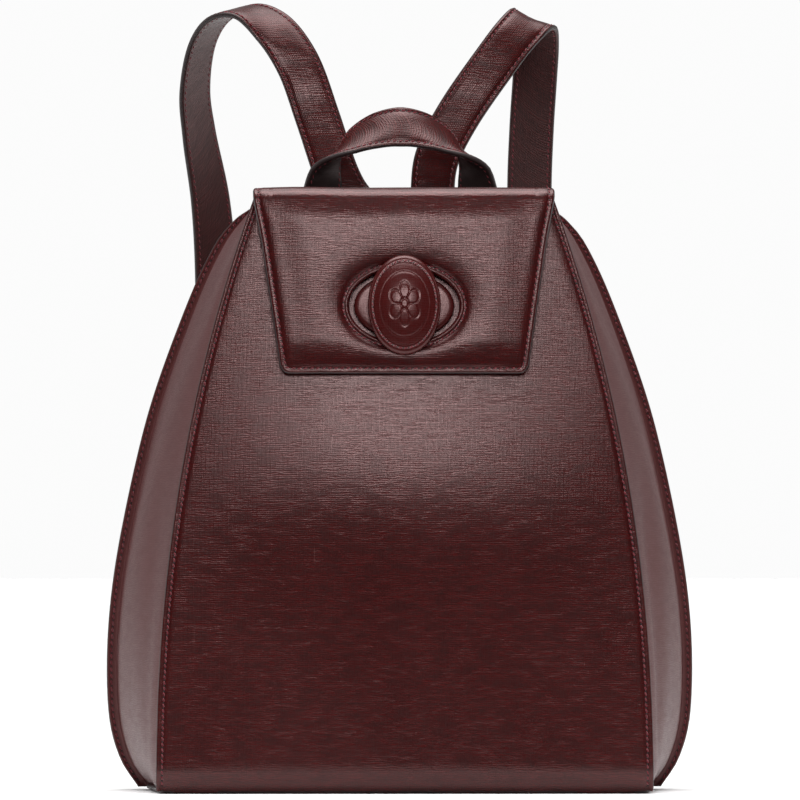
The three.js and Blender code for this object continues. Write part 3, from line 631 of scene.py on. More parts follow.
# each leather's second colour is the dark of the painted shade in its crease valleys
burgundy = leather("burgundy_leather", (0.054, 0.0060, 0.0060), (0.014, 0.0015, 0.0015), scratches=True)
gusset_leather = leather("gusset_leather", (0.060, 0.0090, 0.0088), (0.036, 0.0050, 0.0050),
                         0.42, 0.35, 0.9)
strap_leather = leather("strap_leather", (0.054, 0.0060, 0.0058), (0.010, 0.0011, 0.0011), 0.18, 1.3, 1.3)
lock_leather = leather("lock_leather", (0.054, 0.0060, 0.0058), (0.022, 0.002, 0.002), grain=0.45)
inner_leather = leather("inner_leather", (0.028, 0.0050, 0.0048), (0.010, 0.002, 0.002), 0.46, 0.3)
strap_back = leather("strap_back", (0.040, 0.0080, 0.0075), (0.010, 0.0018, 0.0018), 0.36, 1.2, 1.3)
# near-black leather for the handle's underside: painted shade of its inner face, which lies in shadow
black_leather = leather("black_leather", (0.0085, 0.0055, 0.0055), (0.003, 0.002, 0.002), 0.44, 0.5, 1.1)
edge_dark = edge_paint("edge_dark", (0.012, 0.0050, 0.0050))
thread = thread_material("thread", (0.095, 0.006, 0.011), (0.19, 0.018, 0.028))
# the needle holes' dark discs are painted shade
needle_hole_shade = edge_paint("needle_hole_shade", (0.004, 0.0015, 0.0015))
lining_cloth = cloth_material("lining_cloth", (0.065, 0.010, 0.014), (0.11, 0.022, 0.028))
tape_cloth = cloth_material("tape_cloth", (0.012, 0.010, 0.011), (0.03, 0.026, 0.028))
gold = metal_material("gold", (0.78, 0.56, 0.27))
foam = plain_material("foam", (0.30, 0.28, 0.26), (0.42, 0.40, 0.37), 900.0, 0.95)
board = plain_material("board", (0.20, 0.14, 0.09), (0.30, 0.22, 0.15), 300.0, 0.9)

# looks of a piece's outside, its inside and its cut edge
BODY_LOOKS = [burgundy, inner_leather, edge_dark]
INNER_LOOKS = [inner_leather, inner_leather, edge_dark]
STRAP_LOOKS = [strap_leather, strap_back, edge_dark]

# ---------------------------------------------------------------- camera, light and floor

HORIZON_LIGHT = 0.03
OVERHEAD_LIGHT = 4.6
BEHIND_LIGHT = 0.32
SEEN_WHITE = 0.97
TABLE_FRONT = 360  # mm; the floor is a table top that ends this far in front of the bag
FLOOR_FAR, FLOOR_HALF = 9000, 6000
CAMERA_AZIMUTH = math.radians(-1.3)
CAMERA_ELEVATION = math.radians(0.25)
CAMERA_DISTANCE = 12.0
CAMERA_TARGET = (-0.0011, 0.0, 0.1955)
PICTURE_WIDTH = 0.4003  # metres across the picture, at the target
SENSOR = 36


def make_camera():
    away = Vector((0, -1, 0))
    away.rotate(Euler((-CAMERA_ELEVATION, 0, CAMERA_AZIMUTH)))
    data = bpy.data.cameras.new("camera")
    data.sensor_width = SENSOR
    data.lens = SENSOR * CAMERA_DISTANCE / PICTURE_WIDTH
    data.clip_end = 50
    camera = bpy.data.objects.new("camera", data)
    camera.location = Vector(CAMERA_TARGET) + away * CAMERA_DISTANCE
    camera.rotation_euler = (math.pi / 2 - CAMERA_ELEVATION, 0, CAMERA_AZIMUTH)
    bpy.context.scene.collection.objects.link(camera)
    bpy.context.scene.camera = camera


def area_light(name, place, towards, size, power):
    data = bpy.data.lights.new(name, "AREA")
    data.shape = "RECTANGLE"
    data.size, data.size_y = size
    data.energy = power
    light = bpy.data.objects.new(name, data)
    light.location = place
    light.visible_camera = False
    aim = Vector(towards) - Vector(place)
    light.rotation_euler = aim.to_track_quat("-Z", "Y").to_euler()
    bpy.context.scene.collection.objects.link(light)


def make_world():
    """White to the camera. Its light on the object is a wide overhead glow, faint at the horizon."""
    world = bpy.data.worlds.new("studio")
    world.use_nodes = True
    tree = world.node_tree
    place = tree.nodes.new("ShaderNodeTexCoord")
    split = tree.nodes.new("ShaderNodeSeparateXYZ")
    tree.links.new(place.outputs["Generated"], split.inputs[0])
    both = tree.nodes.new("ShaderNodeMath")
    both.operation = "ADD"
    glows = (("Z", (0.76, 0.97, HORIZON_LIGHT, OVERHEAD_LIGHT)), ("Y", (-0.3, 0.7, 0.0, BEHIND_LIGHT)))
    for term, (axis, limits) in enumerate(glows):
        glow = tree.nodes.new("ShaderNodeMapRange")
        glow.interpolation_type = "SMOOTHSTEP"
        tree.links.new(split.outputs[axis], glow.inputs["Value"])
        for socket, value in zip(("From Min", "From Max", "To Min", "To Max"), limits):
            glow.inputs[socket].default_value = value
        tree.links.new(glow.outputs["Result"], both.inputs[term])
    lighting = tree.nodes["Background"]
    tree.links.new(both.outputs[0], lighting.inputs["Strength"])
    seen = tree.nodes.new("ShaderNodeBackground")
    path = tree.nodes.new("ShaderNodeLightPath")
    mix = tree.nodes.new("ShaderNodeMixShader")
    tree.links.new(path.outputs["Is Camera Ray"], mix.inputs[0])
    tree.links.new(lighting.outputs[0], mix.inputs[1])
    tree.links.new(seen.outputs[0], mix.inputs[2])
    tree.links.new(mix.outputs[0], tree.nodes["World Output"].inputs["Surface"])
    for node in (lighting, seen):
        node.inputs["Color"].default_value = (1, 1, 1, 1)
    seen.inputs["Strength"].default_value = SEEN_WHITE
    bpy.context.scene.world = world


def make_studio():
    make_camera()
    make_world()
    area_light("light_front", (0.0, -0.80, 0.51), (0, 0, 0.515), (0.38, 0.22), 2.8)
    area_light("light_top", (0.0, -0.22, 0.95), (0, -0.06, 0.22), (0.7, 0.4), 3.5)
    area_light("light_left", (-1.5, 0.25, 0.55), (0, 0, 0.2), (1.0, 1.2), 5.5)
    area_light("light_right", (1.5, 0.25, 0.55), (0, 0, 0.2), (1.0, 1.2), 5.5)
    bpy.context.scene.view_settings.view_transform = "Standard"

    n = Nodes("floor")
    n.shader.inputs["Base Color"].default_value = (0.9, 0.9, 0.9, 1)
    n.shader.inputs["Roughness"].default_value = 0.8
    n.shader.inputs["Specular IOR Level"].default_value = 0.1
    x = np.linspace(-FLOOR_HALF, FLOOR_HALF, 13)
    y = -TABLE_FRONT + (FLOOR_FAR + TABLE_FRONT) * np.linspace(0, 1, 11) ** 2
    yy, xx = np.meshgrid(y, x, indexing="ij")
    points = np.stack([xx, yy, np.zeros_like(xx)], axis=2).reshape(-1, 3)
    floor = make_object("floor", points, cells(len(y), len(x)).tolist(), [n.material])
    floor.location.z = -0.0004


# ---------------------------------------------------------------- body


def front_grid():
    z = spaced(FRONT_TOP - FOOT, 4.0) + FOOT
    share = spaced(240, 5.0) / 240 * 2 - 1
    zz, across = np.meshgrid(z, share, indexing="ij")
    y = front_y(across, zz)
    # soft unevenness of a worn panel
    y = y + 0.45 * np.sin(zz / 31 + across * 1.6) * np.cos(across * 2.3) * smooth(0, 60, zz)
    return np.stack([across * front_half(zz), y, zz], axis=2)


def make_front():
    grid = front_grid()
    seam = 3.0  # distance of the sewing from the edge
    panel = sheet("front_panel_leather", grid, 0.0, -PANEL, BODY_LOOKS,
                  grooves=((seam, 0.5, 1.1),), borders="lrt", paint=0.4)
    settle(panel, "burgundy_leather", "front_panel")
    rows = Stitches("front_stitches")
    sew(rows, grid, "lr", seam, -0.42, trim=2.5)
    sew(rows, grid, "t", seam, -0.42, trim=5)
    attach(rows.finish(), "bag")


def gusset_grid(side):
    v = spaced(290, 4.5) / 290
    main = spaced(100, 3.5) / 100
    dent = 2.6 if side > 0 else 1.2
    front_z = 1.0 + (FRONT_TOP - 1.0) * v
    back_z = 1.0 + (SHOULDER_TOP - 1.0) * v
    rows = []
    for fz, bz in zip(front_z, back_z):
        x0 = front_half(fz) - 0.8
        y0 = front_y(1.0, fz) + PANEL + 0.4
        edge = back_half(bz)
        x1 = edge - FLANGE - 1.0
        y1 = back_y(edge, bz) - PANEL - 3.4
        level = bz / SHOULDER_TOP
        x = x0 + (x1 - x0) * main
        x = x + GUSSET_BULGE * 4 * main * (1 - main) * math.sin(math.pi * level)
        x = x - dent * bump(main, 0.27, 0.12) * smooth(0.01, 0.15, level) * (1 - smooth(0.40, 0.62, level))
        x = x + 0.8 * np.sin(main * 7 + level * 9) * smooth(0.0, 0.15, main) * (1 - smooth(0.85, 1.0, main))
        y = y0 + (y1 - y0) * main
        z = fz + (bz - fz) * main
        x = x - FOOT_TUCK * np.maximum(1 - fz / FOOT_CURL_HEIGHT, 0) ** 2 * smooth(-0.2, 0.3, main)
        # its back edge turns outwards and is sewn flat against the back panel
        turn = [(x1 + 0.4, y1 + 0.9), (x1 + 1.2, y1 + 1.45)]
        turn += [(x1 + 1.2 + s, y1 + 1.6) for s in (0.6, 1.2, 1.8, 2.3, 2.8, 3.2, 3.6, 3.8, 3.9)]
        x = np.concatenate([x, [p[0] for p in turn]])
        y = np.concatenate([y, [p[1] for p in turn]])
        z = np.concatenate([z, [bz] * len(turn)])
        rows.append(np.stack([side * x, y, z], axis=1))
    return np.array(rows)


def make_gussets():
    for name, side in (("left", -1), ("right", 1)):
        grid = gusset_grid(side)
        piece = sheet(f"gusset_{name}_leather", grid, 0.0, -1.5, [gusset_leather, inner_leather, edge_dark],
                      flip=side < 0, borders="rbt", grooves=((2.3, 0.3, 0.8),), paint=0.45)
        settle(piece, "smooth_leather", f"gusset_{name}")
        rows = Stitches(f"gusset_{name}_stitches")
        sew(rows, grid, "r", 2.2, -0.2, flip=side < 0, trim=4, **BACK_THREAD)
        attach(rows.finish(), "bag")


def back_grid():
    v = spaced(290, 4.5) / 290
    share = spaced(270, 5.0) / 270 * 2 - 1
    vv, across = np.meshgrid(v, share, indexing="ij")
    edge_z = FOOT + (SHOULDER_TOP - FOOT) * vv
    x = across * back_half(edge_z)
    z = edge_z + BACK_RISE * (1 - across**4) * vv**3
    y = back_y(x, z) + 0.5 * np.sin(z / 40) * np.cos(x / 45) * (1 - across**6) * smooth(0, 0.1, 1 - vv)
    return np.stack([x, y, z], axis=2)


def make_back():
    grid = back_grid()
    panel = sheet("back_panel_leather", grid, 0.0, -PANEL, BODY_LOOKS, flip=True,
                  grooves=((2.6, 0.35, 0.9), (7.0, 0.35, 0.9)), paint=0.5)
    settle(panel, "burgundy_leather", "back_panel")
    rows = Stitches("back_stitches")
    for distance in (2.6, 7.0):
        sew(rows, grid, "lrt", distance, -0.25, flip=True, trim=distance + 1, **BACK_THREAD)
    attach(rows.finish(), "bag")


def make_base():
    low, high = corners("base_panel")
    y = spaced(high[1] - low[1], 6.0) + low[1]
    share = spaced(240, 8.0) / 240 * 2 - 1
    yy, across = np.meshgrid(y, share, indexing="ij")
    level = (yy - low[1]) / (high[1] - low[1])
    half = (FRONT_HALF_FOOT - 2.0) + (high[0] - FRONT_HALF_FOOT + 2.0) * level
    corner = 7.0
    near_end = np.minimum(yy - low[1], high[1] - yy)
    half = half - corner + np.sqrt(np.maximum(corner**2 - np.maximum(corner - near_end, 0) ** 2, 0))
    grid = np.stack([across * half, yy, np.zeros_like(yy)], axis=2)
    base = sheet("base_leather", grid, high[2], 0.0, [inner_leather, burgundy, edge_dark], paint=0.4)
    settle(base, "burgundy_leather", "base_panel")


# ---------------------------------------------------------------- lining and pocket


def lining_loop(z, inset):
    """The lining's outline at a height, starting at the front's left end."""
    half_front = front_half(z) - 5.0 - inset
    half_back = back_half(min(z, SHOULDER_TOP)) - 5.8 - inset
    u = np.linspace(-1, 1, 40)
    front = np.stack([u * half_front, front_y(u, z) + 7.4 + inset, np.full(40, z)], axis=1)
    x = -u * half_back
    back = np.stack([x, back_y(x, z) - 8.0 - inset, np.full(40, z)], axis=1)
    s = np.linspace(0, 1, 20)[1:-1, None]
    right = front[-1] + (back[0] - front[-1]) * s
    left = back[-1] + (front[0] - back[-1]) * s
    return np.concatenate([front, right, back, left])


def make_lining():
    low, high = corners("lining")
    heights = spaced(high[2] - low[2], 6.0) + low[2]
    loops = []
    for z in heights:
        loop = lining_loop(z, 0.0)
        ripple = 0.5 * np.sin(z / 17 + np.arange(len(loop)) / 5.0)
        centre = loop.mean(axis=0)
        inward = unit(centre - loop)
        loops.append(loop + inward * ripple[:, None] * smooth(0, 20, high[2] - z))
    grid = np.array(loops).transpose(1, 0, 2)
    wall = sheet("lining_cloth_wall", grid, 0.0, -LINING, [lining_cloth] * 3, borders="lr",
                 closed=True, flip=True)
    settle(wall, "lining_fabric", "lining")
    floor_loop = lining_loop(low[2], 0.8)
    centre = floor_loop.mean(axis=0)
    shares = np.linspace(1, 0.02, 30)
    floor_grid = np.array([centre + (floor_loop - centre) * s for s in shares]).transpose(1, 0, 2)
    floor_grid[..., 2] += 1.0
    floor = sheet("lining_cloth_floor", floor_grid, 0.0, -LINING, [lining_cloth] * 3, borders="lr",
                  closed=True)
    settle(floor, "lining_fabric")


def strip_on(y_of, x_half, z_low, z_high):
    """A grid of points over a rectangle of a wall, seen from the front."""
    x = spaced(2 * x_half, 4.0) - x_half
    z = spaced(z_high - z_low, 4.0) + z_low
    zz, xx = np.meshgrid(z, x, indexing="ij")
    return np.stack([xx, y_of(xx, zz), zz], axis=2)


def make_facings_and_pocket():
    front = strip_on(lambda x, z: front_y(x / front_half(z), z) + 9.2, 66, 262, 294)
    piece = sheet("mouth_facing_front_leather", front, 0.0, -1.1, INNER_LOOKS, paint=0.4,
                  grooves=((2.4, 0.25, 0.8),))
    settle(piece, "flap_lining_leather", "mouth_facing_front")
    back = strip_on(lambda x, z: back_y(x, z) - 9.6, 64, 262, 294)
    piece = sheet("mouth_facing_back_leather", back, 0.0, -1.1, INNER_LOOKS, paint=0.4,
                  grooves=((2.4, 0.25, 0.8),), flip=True)
    settle(piece, "flap_lining_leather", "mouth_facing_back")
    rows = Stitches("mouth_stitches")
    for border, height in (("t", -1.35), ("b", -1.1)):
        sew(rows, back, border, 2.4, height, flip=True, facing=-1, pitch=3.2, length=2.4)
    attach(rows.finish(), "bag")

    patch = strip_on(lambda x, z: back_y(x, z) - 9.4, 68, 112, 208)
    piece = sheet("pocket_cloth", patch, 0.0, -0.9, [lining_cloth] * 3, flip=True)
    settle(piece, "lining_fabric", "pocket_panel")
    tape = strip_on(lambda x, z: back_y(x, z) - 9.4, 68, 208.6, 226)
    piece = sheet("zip_tape_cloth", tape, 0.0, -0.7, [tape_cloth] * 3, flip=True)
    settle(piece, "zip_tape_fabric", "zip_tape")


def make_zip_teeth():
    """Interlocking teeth along the tape, in place of the plain bar."""
    low, high = corners("zip_teeth")
    middle_z = (low[2] + high[2]) / 2
    points = []
    faces = []
    pitch = 2.0
    count = int((high[0] - low[0]) / pitch)
    for i in range(count):
        x = low[0] + (i + 0.5) * pitch
        shift = 0.55 if i % 2 else -0.55
        a = len(points)
        for dx in (-0.62, 0.62):
            for y, taper in ((high[1], 1.0), (low[1], 0.7)):
                for dz in (-1.5 * taper, 1.5 * taper):
                    points.append((x + dx * taper, y, middle_z + shift + dz))
        faces += [(a, a + 1, a + 3, a + 2), (a + 4, a + 6, a + 7, a + 5), (a, a + 4, a + 5, a + 1),
                  (a + 2, a + 3, a + 7, a + 6), (a, a + 2, a + 6, a + 4), (a + 1, a + 5, a + 7, a + 3)]
    teeth = make_object("zip_teeth_row", points, faces, [gold])
    teeth.data.polygons.foreach_set("use_smooth", np.zeros(len(faces), bool))
    merge_close(teeth)
    settle(teeth, "gold_metal", "zip_teeth")


# ---------------------------------------------------------------- flap

FLAP_HEAD = np.array([0.0, -36.3, FRONT_TOP])
FLAP_REST = np.array([0.0, float(front_y(0.0, 209.0)) - 0.6, 209.0])
SLOPE_UP = unit(FLAP_HEAD - FLAP_REST)
OUTWARD = np.array([0.0, -SLOPE_UP[2], SLOPE_UP[1]])
LOCK_HEIGHT = 242.5
LOCK_DROP = (FRONT_TOP - LOCK_HEIGHT) / SLOPE_UP[2]
LOCK_ORIGIN = FLAP_HEAD - SLOPE_UP * LOCK_DROP
EYE = (27.5, 18.5)  # half the width and half the height of the lock opening
FOLD_HALF, FOOT_HALF, REAR_HALF = 75.5, 62.4, 66.0  # half the flap's width at three places
FLAP_LENGTH = 88.0
FLAP_REAR = 65.0
FOLD_RADIUS = 3.2
TOP_PLANE = 298.5  # underside of the flap's top
FLAP_TILT = math.atan2(SLOPE_UP[1], SLOPE_UP[2])
FOLD_TURN = math.pi / 2 - FLAP_TILT
FOLD_REACH = FOLD_RADIUS * math.tan(FOLD_TURN / 2)


def lock_place(x, up, out):
    """A place in the lock's own frame, in mm."""
    x, up, out = np.broadcast_arrays(np.asarray(x, float), up, out)
    right = np.array([1.0, 0.0, 0.0])
    return LOCK_ORIGIN + x[..., None] * right + up[..., None] * SLOPE_UP + out[..., None] * OUTWARD


def fold_profile(s):
    """The flap's underside in side view: s runs from the hanging end (negative) to the rear."""
    s = np.asarray(s, float)
    corner_y = FLAP_HEAD[1] + (TOP_PLANE - FLAP_HEAD[2]) * math.tan(FLAP_TILT)
    arc = FOLD_RADIUS * FOLD_TURN
    centre = np.array([corner_y + FOLD_REACH, TOP_PLANE - FOLD_RADIUS])
    angle = np.clip(s / arc + 0.5, 0, 1) * FOLD_TURN + FLAP_TILT
    normal = np.stack([-np.cos(angle), np.sin(angle)], axis=-1)
    place = centre + FOLD_RADIUS * normal
    down = np.minimum(s + arc / 2, 0)[..., None]
    along = np.maximum(s - arc / 2, 0)[..., None]
    slope = np.array([math.sin(FLAP_TILT), math.cos(FLAP_TILT)])
    place = place + down * slope + along * np.array([1.0, 0.0])
    return place, normal


def s_of_slope(up):
    """Turns a height up the slope, measured from the flap's head, into s."""
    top = (TOP_PLANE - FRONT_TOP) / math.cos(FLAP_TILT) - FOLD_REACH
    return up - top - FOLD_RADIUS * FOLD_TURN / 2


S_FOOT = s_of_slope(-FLAP_LENGTH)
S_LOCK = s_of_slope(-LOCK_DROP)


def flap_half(s):
    s = np.asarray(s, float)
    hanging = FOLD_HALF + (FOOT_HALF - FOLD_HALF) * np.clip(s / S_FOOT, 0, 1)
    lying = FOLD_HALF + (REAR_HALF - FOLD_HALF) * np.clip(s / FLAP_REAR, 0, 1)
    flare = 0.9 * bump(s, -3, 14)
    return np.where(s < 0, hanging, lying) + flare - 0.9


def flap_outline(count):
    """The flap's cut outline, unrolled to (x, s), evenly spaced, starting at the rear's right end."""
    corner = 4.0
    right = [(float(flap_half(s)), s) for s in np.linspace(FLAP_REAR, S_FOOT + corner, 60)]
    foot_x = float(flap_half(S_FOOT))
    angles = np.linspace(0, math.pi / 2, 8)[1:]
    right += [(foot_x - corner * (1 - math.cos(a)), S_FOOT + corner * (1 - math.sin(a))) for a in angles]
    left = [(-x, s) for x, s in reversed(right)]
    foot = [(x, S_FOOT) for x in np.linspace(foot_x - corner, -foot_x + corner, 30)[1:-1]]
    rear = [(x, FLAP_REAR) for x in np.linspace(-REAR_HALF + 1, REAR_HALF - 1, 30)]
    polygon = np.array(right + foot + left + rear)
    closed = np.vstack([polygon, polygon[:1]])
    walked = walk(closed)
    return pick(closed, walked, np.linspace(0, walked[-1], count, endpoint=False))


def distance_to_loop(points, loop):
    """Distance of each point from a closed polyline."""
    shape = points.shape[:-1]
    flat = points.reshape(-1, 1, 2)
    a = loop[None]
    b = np.roll(loop, -1, axis=0)[None]
    t = np.clip(((flat - a) * (b - a)).sum(2) / np.maximum(((b - a) ** 2).sum(2), 1e-9), 0, 1)
    near = a + (b - a) * t[..., None]
    return np.linalg.norm(flat - near, axis=2).min(axis=1).reshape(shape)


FLAP_EDGE = 2.9  # thickness at the cut edge
FLAP_FULL = 5.9  # thickness over the padding
FLAP_LYING = 3.2  # thickness of the part that lies on top
FLAP_RIM = 3.6  # thickness at the opening's rim


def flap_height(x, s, d_out, d_in):
    """Height of the flap's outside above its underside."""
    full = FLAP_FULL + (FLAP_LYING - FLAP_FULL) * smooth(-14, 6, s)
    sides = 0.62 * smooth(-3.0, 8, d_out) + 0.38 * smooth(4, 24, flap_half(s) - np.abs(x))
    foot = smooth(-4.0, 17, s - S_FOOT)
    height = FLAP_EDGE + (full - FLAP_EDGE) * sides * foot
    rolled = 1 - np.exp(-np.maximum(d_in - 2.2, 0) / 5.0)
    height = FLAP_RIM + (height - FLAP_RIM) * rolled
    height = height - 0.45 * bump(d_out, 2.7, 0.95) - 0.5 * bump(d_in, 3.1, 0.9)
    height = height + 0.3 * bump(d_in, 1.3, 1.0)
    sag = 0.4 * bump(x, 0, 34) * bump(s, 2, 9)
    wave = 0.16 * np.sin(x / 11.0 + s / 17.0) * smooth(4, 14, d_out) * smooth(4, 14, d_in)
    return height - sag + wave


def flap_point(x, s, height):
    place, normal = fold_profile(s)
    lifted = place + normal * height[..., None]
    return np.stack([x, lifted[..., 0], lifted[..., 1]], axis=-1)


def make_flap():
    around = 520
    outline = flap_outline(around)
    centre = np.array([0.0, S_LOCK])
    toward = outline - centre
    angle = np.arctan2(toward[:, 1] / EYE[1], toward[:, 0] / EYE[0])
    hole = centre + np.stack([EYE[0] * np.cos(angle), EYE[1] * np.sin(angle)], axis=1)
    near = np.array([0, 0.08, 0.25, 0.55, 0.95, 1.5, 2.1, 2.7, 3.3, 4.0, 5.0, 6.5, 8.5, 11])
    rows = []
    for a, b in zip(hole, outline):
        length = np.linalg.norm(b - a)
        squeeze = min(1.0, length / 30)
        middle = np.linspace(near[-1] * squeeze, length - near[-1] * squeeze, 72)[1:-1]
        places = np.concatenate([near * squeeze, middle, length - near[::-1] * squeeze]) / length
        rows.append(a + (b - a) * places[:, None])
    flat = np.array(rows)
    d_out = distance_to_loop(flat, outline)
    d_in = distance_to_loop(flat, hole)
    x, s = flat[..., 0], flat[..., 1]
    height = flap_height(x, s, d_out, d_in)
    distance = np.minimum(d_out, d_in)
    low = 0.25
    half = np.minimum((height - low) / 2, 1.45)
    drop = rounding(distance, half)
    top = flap_point(x, s, np.maximum(height - drop, 0))
    under = flap_point(x, s, low + (height - low - 2 * half) * (1 - smooth(0, 2.5, distance)) + drop)
    top[distance <= 1e-6] = under[distance <= 1e-6]

    columns = flat.shape[1]
    points = np.concatenate([top.reshape(-1, 3), under.reshape(-1, 3)])
    uv = np.stack([x, s], axis=2).reshape(-1, 2)
    upper = cells(around, columns, closed=True)
    lower = upper[:, ::-1] + around * columns
    # the cut outline is painted dark, the rim of the lock opening is turned leather
    edge = (distance.ravel()[upper[:, ::2]].mean(axis=1) < 0.55) & (d_in.ravel()[upper[:, 0]] >= 3)
    looks_of = np.concatenate([np.where(edge, 2, 0), np.where(edge, 2, 1)])
    flap = make_object("flap_leather", points, np.concatenate([upper, lower]).tolist(),
                       BODY_LOOKS, looks_of, np.concatenate([uv, uv]))
    merge_close(flap)
    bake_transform(flap)
    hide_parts("flap_top_leather", "flap_top_lining", "flap_front_leather", "flap_front_lining",
                "flap_front_padding", "flap_eyelet_rim")

    rows = Stitches("flap_stitches")
    inner = inset_loop(outline, 2.7)
    rows.row(*flap_line(inner, outline, hole), pitch=3.05, length=2.3, width=0.72, loop=True)
    theta = np.linspace(0, 2 * math.pi, 160, endpoint=False)
    ring = centre + np.stack([(EYE[0] + 3.1) * np.cos(theta), (EYE[1] + 3.1) * np.sin(theta)], axis=1)
    rows.row(*flap_line(ring, outline, hole), pitch=2.9, length=2.15, width=0.7, loop=True)
    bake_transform(rows.finish())


def inset_loop(loop, distance):
    """A closed polyline moved in by a distance."""
    ahead = unit(np.roll(loop, -1, axis=0) - np.roll(loop, 1, axis=0))
    inward = np.stack([ahead[:, 1], -ahead[:, 0]], axis=1)
    centre = loop.mean(axis=0)
    if ((centre - loop) * inward).sum() < 0:
        inward = -inward
    moved = loop + inward * distance
    keep = distance_to_loop(moved, loop) > distance * 0.93
    return moved[keep]


def flap_line(line, outline, hole):
    """Places and normals on the flap's outside for an unrolled line."""
    d_out = distance_to_loop(line, outline)
    d_in = distance_to_loop(line, hole)
    height = flap_height(line[:, 0], line[:, 1], d_out, d_in)
    _, normal = fold_profile(line[:, 1])
    normals = np.stack([np.zeros(len(line)), normal[:, 0], normal[:, 1]], axis=1)
    return flap_point(line[:, 0], line[:, 1], height + 0.05), normals


def make_hinge_strip():
    """The strip that joins the flap's rear edge to the top of the back panel."""
    x = spaced(124, 5.0) - 62
    bends = [(25.5, 298.2), (30, 298.0), (34.5, 297.6), (37.4, 296.2), (39.6, 292), (41.2, 285)]
    profile = catmull(bends, 26)
    yy, xx = np.meshgrid(profile[:, 0], x, indexing="ij")
    zz = np.broadcast_to(profile[:, 1:], xx.shape)
    crown = BACK_CROWN * 0.06 * (1 - (xx / 62) ** 2)
    grid = np.stack([xx, yy + crown, zz], axis=2)
    strip = sheet("flap_hinge_strip", grid, 0.0, -1.0, BODY_LOOKS, paint=0.4,
                  grooves=((2.2, 0.2, 0.7),))
    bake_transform(strip)


# ---------------------------------------------------------------- turn lock


def oval_dome(name, profile, half_width, half_height, looks, around=144, emboss=None):
    """Stacked ovals: profile rows are (share of the outline, height). The first and last close flat."""
    profile = np.asarray(profile, float)
    theta = np.linspace(0, 2 * math.pi, around, endpoint=False)
    share, _ = np.meshgrid(profile[:, 0], theta, indexing="ij")
    out = np.repeat(profile[:, 1][:, None], around, axis=1)
    x = share * half_width * np.cos(theta)
    up = share * half_height * np.sin(theta)
    if emboss is not None:
        out = out + emboss(x, up, share)
    points = lock_place(x, up, out)
    uv = np.stack([x, up], axis=2).reshape(-1, 2)
    return make_object(name, points.reshape(-1, 3), skin(len(profile), around), looks, None, uv)


KNOB_HALF = (corners("knob_cover")[1][0], 25.0)  # half the width and half the height
PLATE_HALF = (25.0, 16.5)


def knob_emboss(x, up, share):
    """A plain six-petalled rosette pressed into the leather, inside a thin oval line."""
    ring = np.hypot(x / KNOB_HALF[0], up / KNOB_HALF[1])
    result = -0.2 * bump((ring - 0.66) * KNOB_HALF[0], 0, 0.5)
    reach, turn = np.hypot(x / 8.0, up / 11.0), np.arctan2(up / 11.0, x / 8.0)
    petals = np.abs(np.sin(3 * turn))
    outline = 0.55 + 0.45 * petals**0.7
    result = result - 0.3 * bump((reach - outline) * 9, 0, 0.55)
    result = result - 0.3 * bump((reach - 0.24) * 9, 0, 0.55)
    between = np.arcsin(petals) / 3 * reach * 9
    result = result - 0.25 * bump(between, 0, 0.45) * (reach > 0.24) * (reach < outline)
    return result * (share < 0.8)


def make_lock():
    lip = [(0.82, 4.05), (0.90, 3.95), (0.955, 4.05), (0.985, 4.45), (1.0, 5.1), (1.0, 5.8), (0.992, 6.5),
           (0.975, 7.05), (0.955, 7.45), (0.93, 7.75), (0.905, 7.9), (0.885, 7.95), (0.865, 7.9),
           (0.845, 7.95), (0.82, 8.25)]
    dome = [(s, 8.25 + 3.75 * (1 - (s / 0.82) ** 2.2)) for s in np.linspace(0.82, 0.012, 56)[1:]]
    cover = oval_dome("knob_cover_leather", lip + dome, *KNOB_HALF, [lock_leather], emboss=knob_emboss)
    settle(cover, "lock_leather", "knob_cover", body="knob")
    rows = Stitches("knob_stitches")
    theta = np.linspace(0, 2 * math.pi, 120, endpoint=False)
    share = 0.875
    line = lock_place(share * KNOB_HALF[0] * np.cos(theta), share * KNOB_HALF[1] * np.sin(theta), 7.95)
    rows.row(line, np.tile(OUTWARD, (len(theta), 1)), pitch=2.75, length=2.05, width=0.66, loop=True)
    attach(rows.finish(), "knob")

    plate = [(0.9, -0.9), (0.97, -0.8), (1.0, -0.2), (1.0, 0.6), (0.98, 1.25), (0.94, 1.65), (0.88, 1.8),
             (0.8, 1.85), (0.5, 1.9), (0.2, 1.9)]
    base = oval_dome("lock_base_leather", plate, *PLATE_HALF, [lock_leather])
    settle(base, "lock_leather", "lock_base_plate")


# ---------------------------------------------------------------- handle and straps

HANDLE_NEAR = [(50, 41.3, 266), (50, 40.9, 284), (49.6, 40.9, 293), (48.5, 41.2, 299.5),
               (45.5, 38.6, 308.4), (36, 35.2, 314.8), (24, 33.4, 318.7), (12, 33.2, 321.5), (0, 33.4, 322.4)]
HANDLE_FAR = [(28.6, 43.2, 266), (28.6, 42.6, 284), (28.9, 44.5, 293), (29.2, 49.6, 299.5), (29, 52, 309.5),
              (28.3, 53.4, 320.2), (23.6, 50.6, 331.4), (12.6, 45.4, 339.2), (0, 41.6, 342.3)]

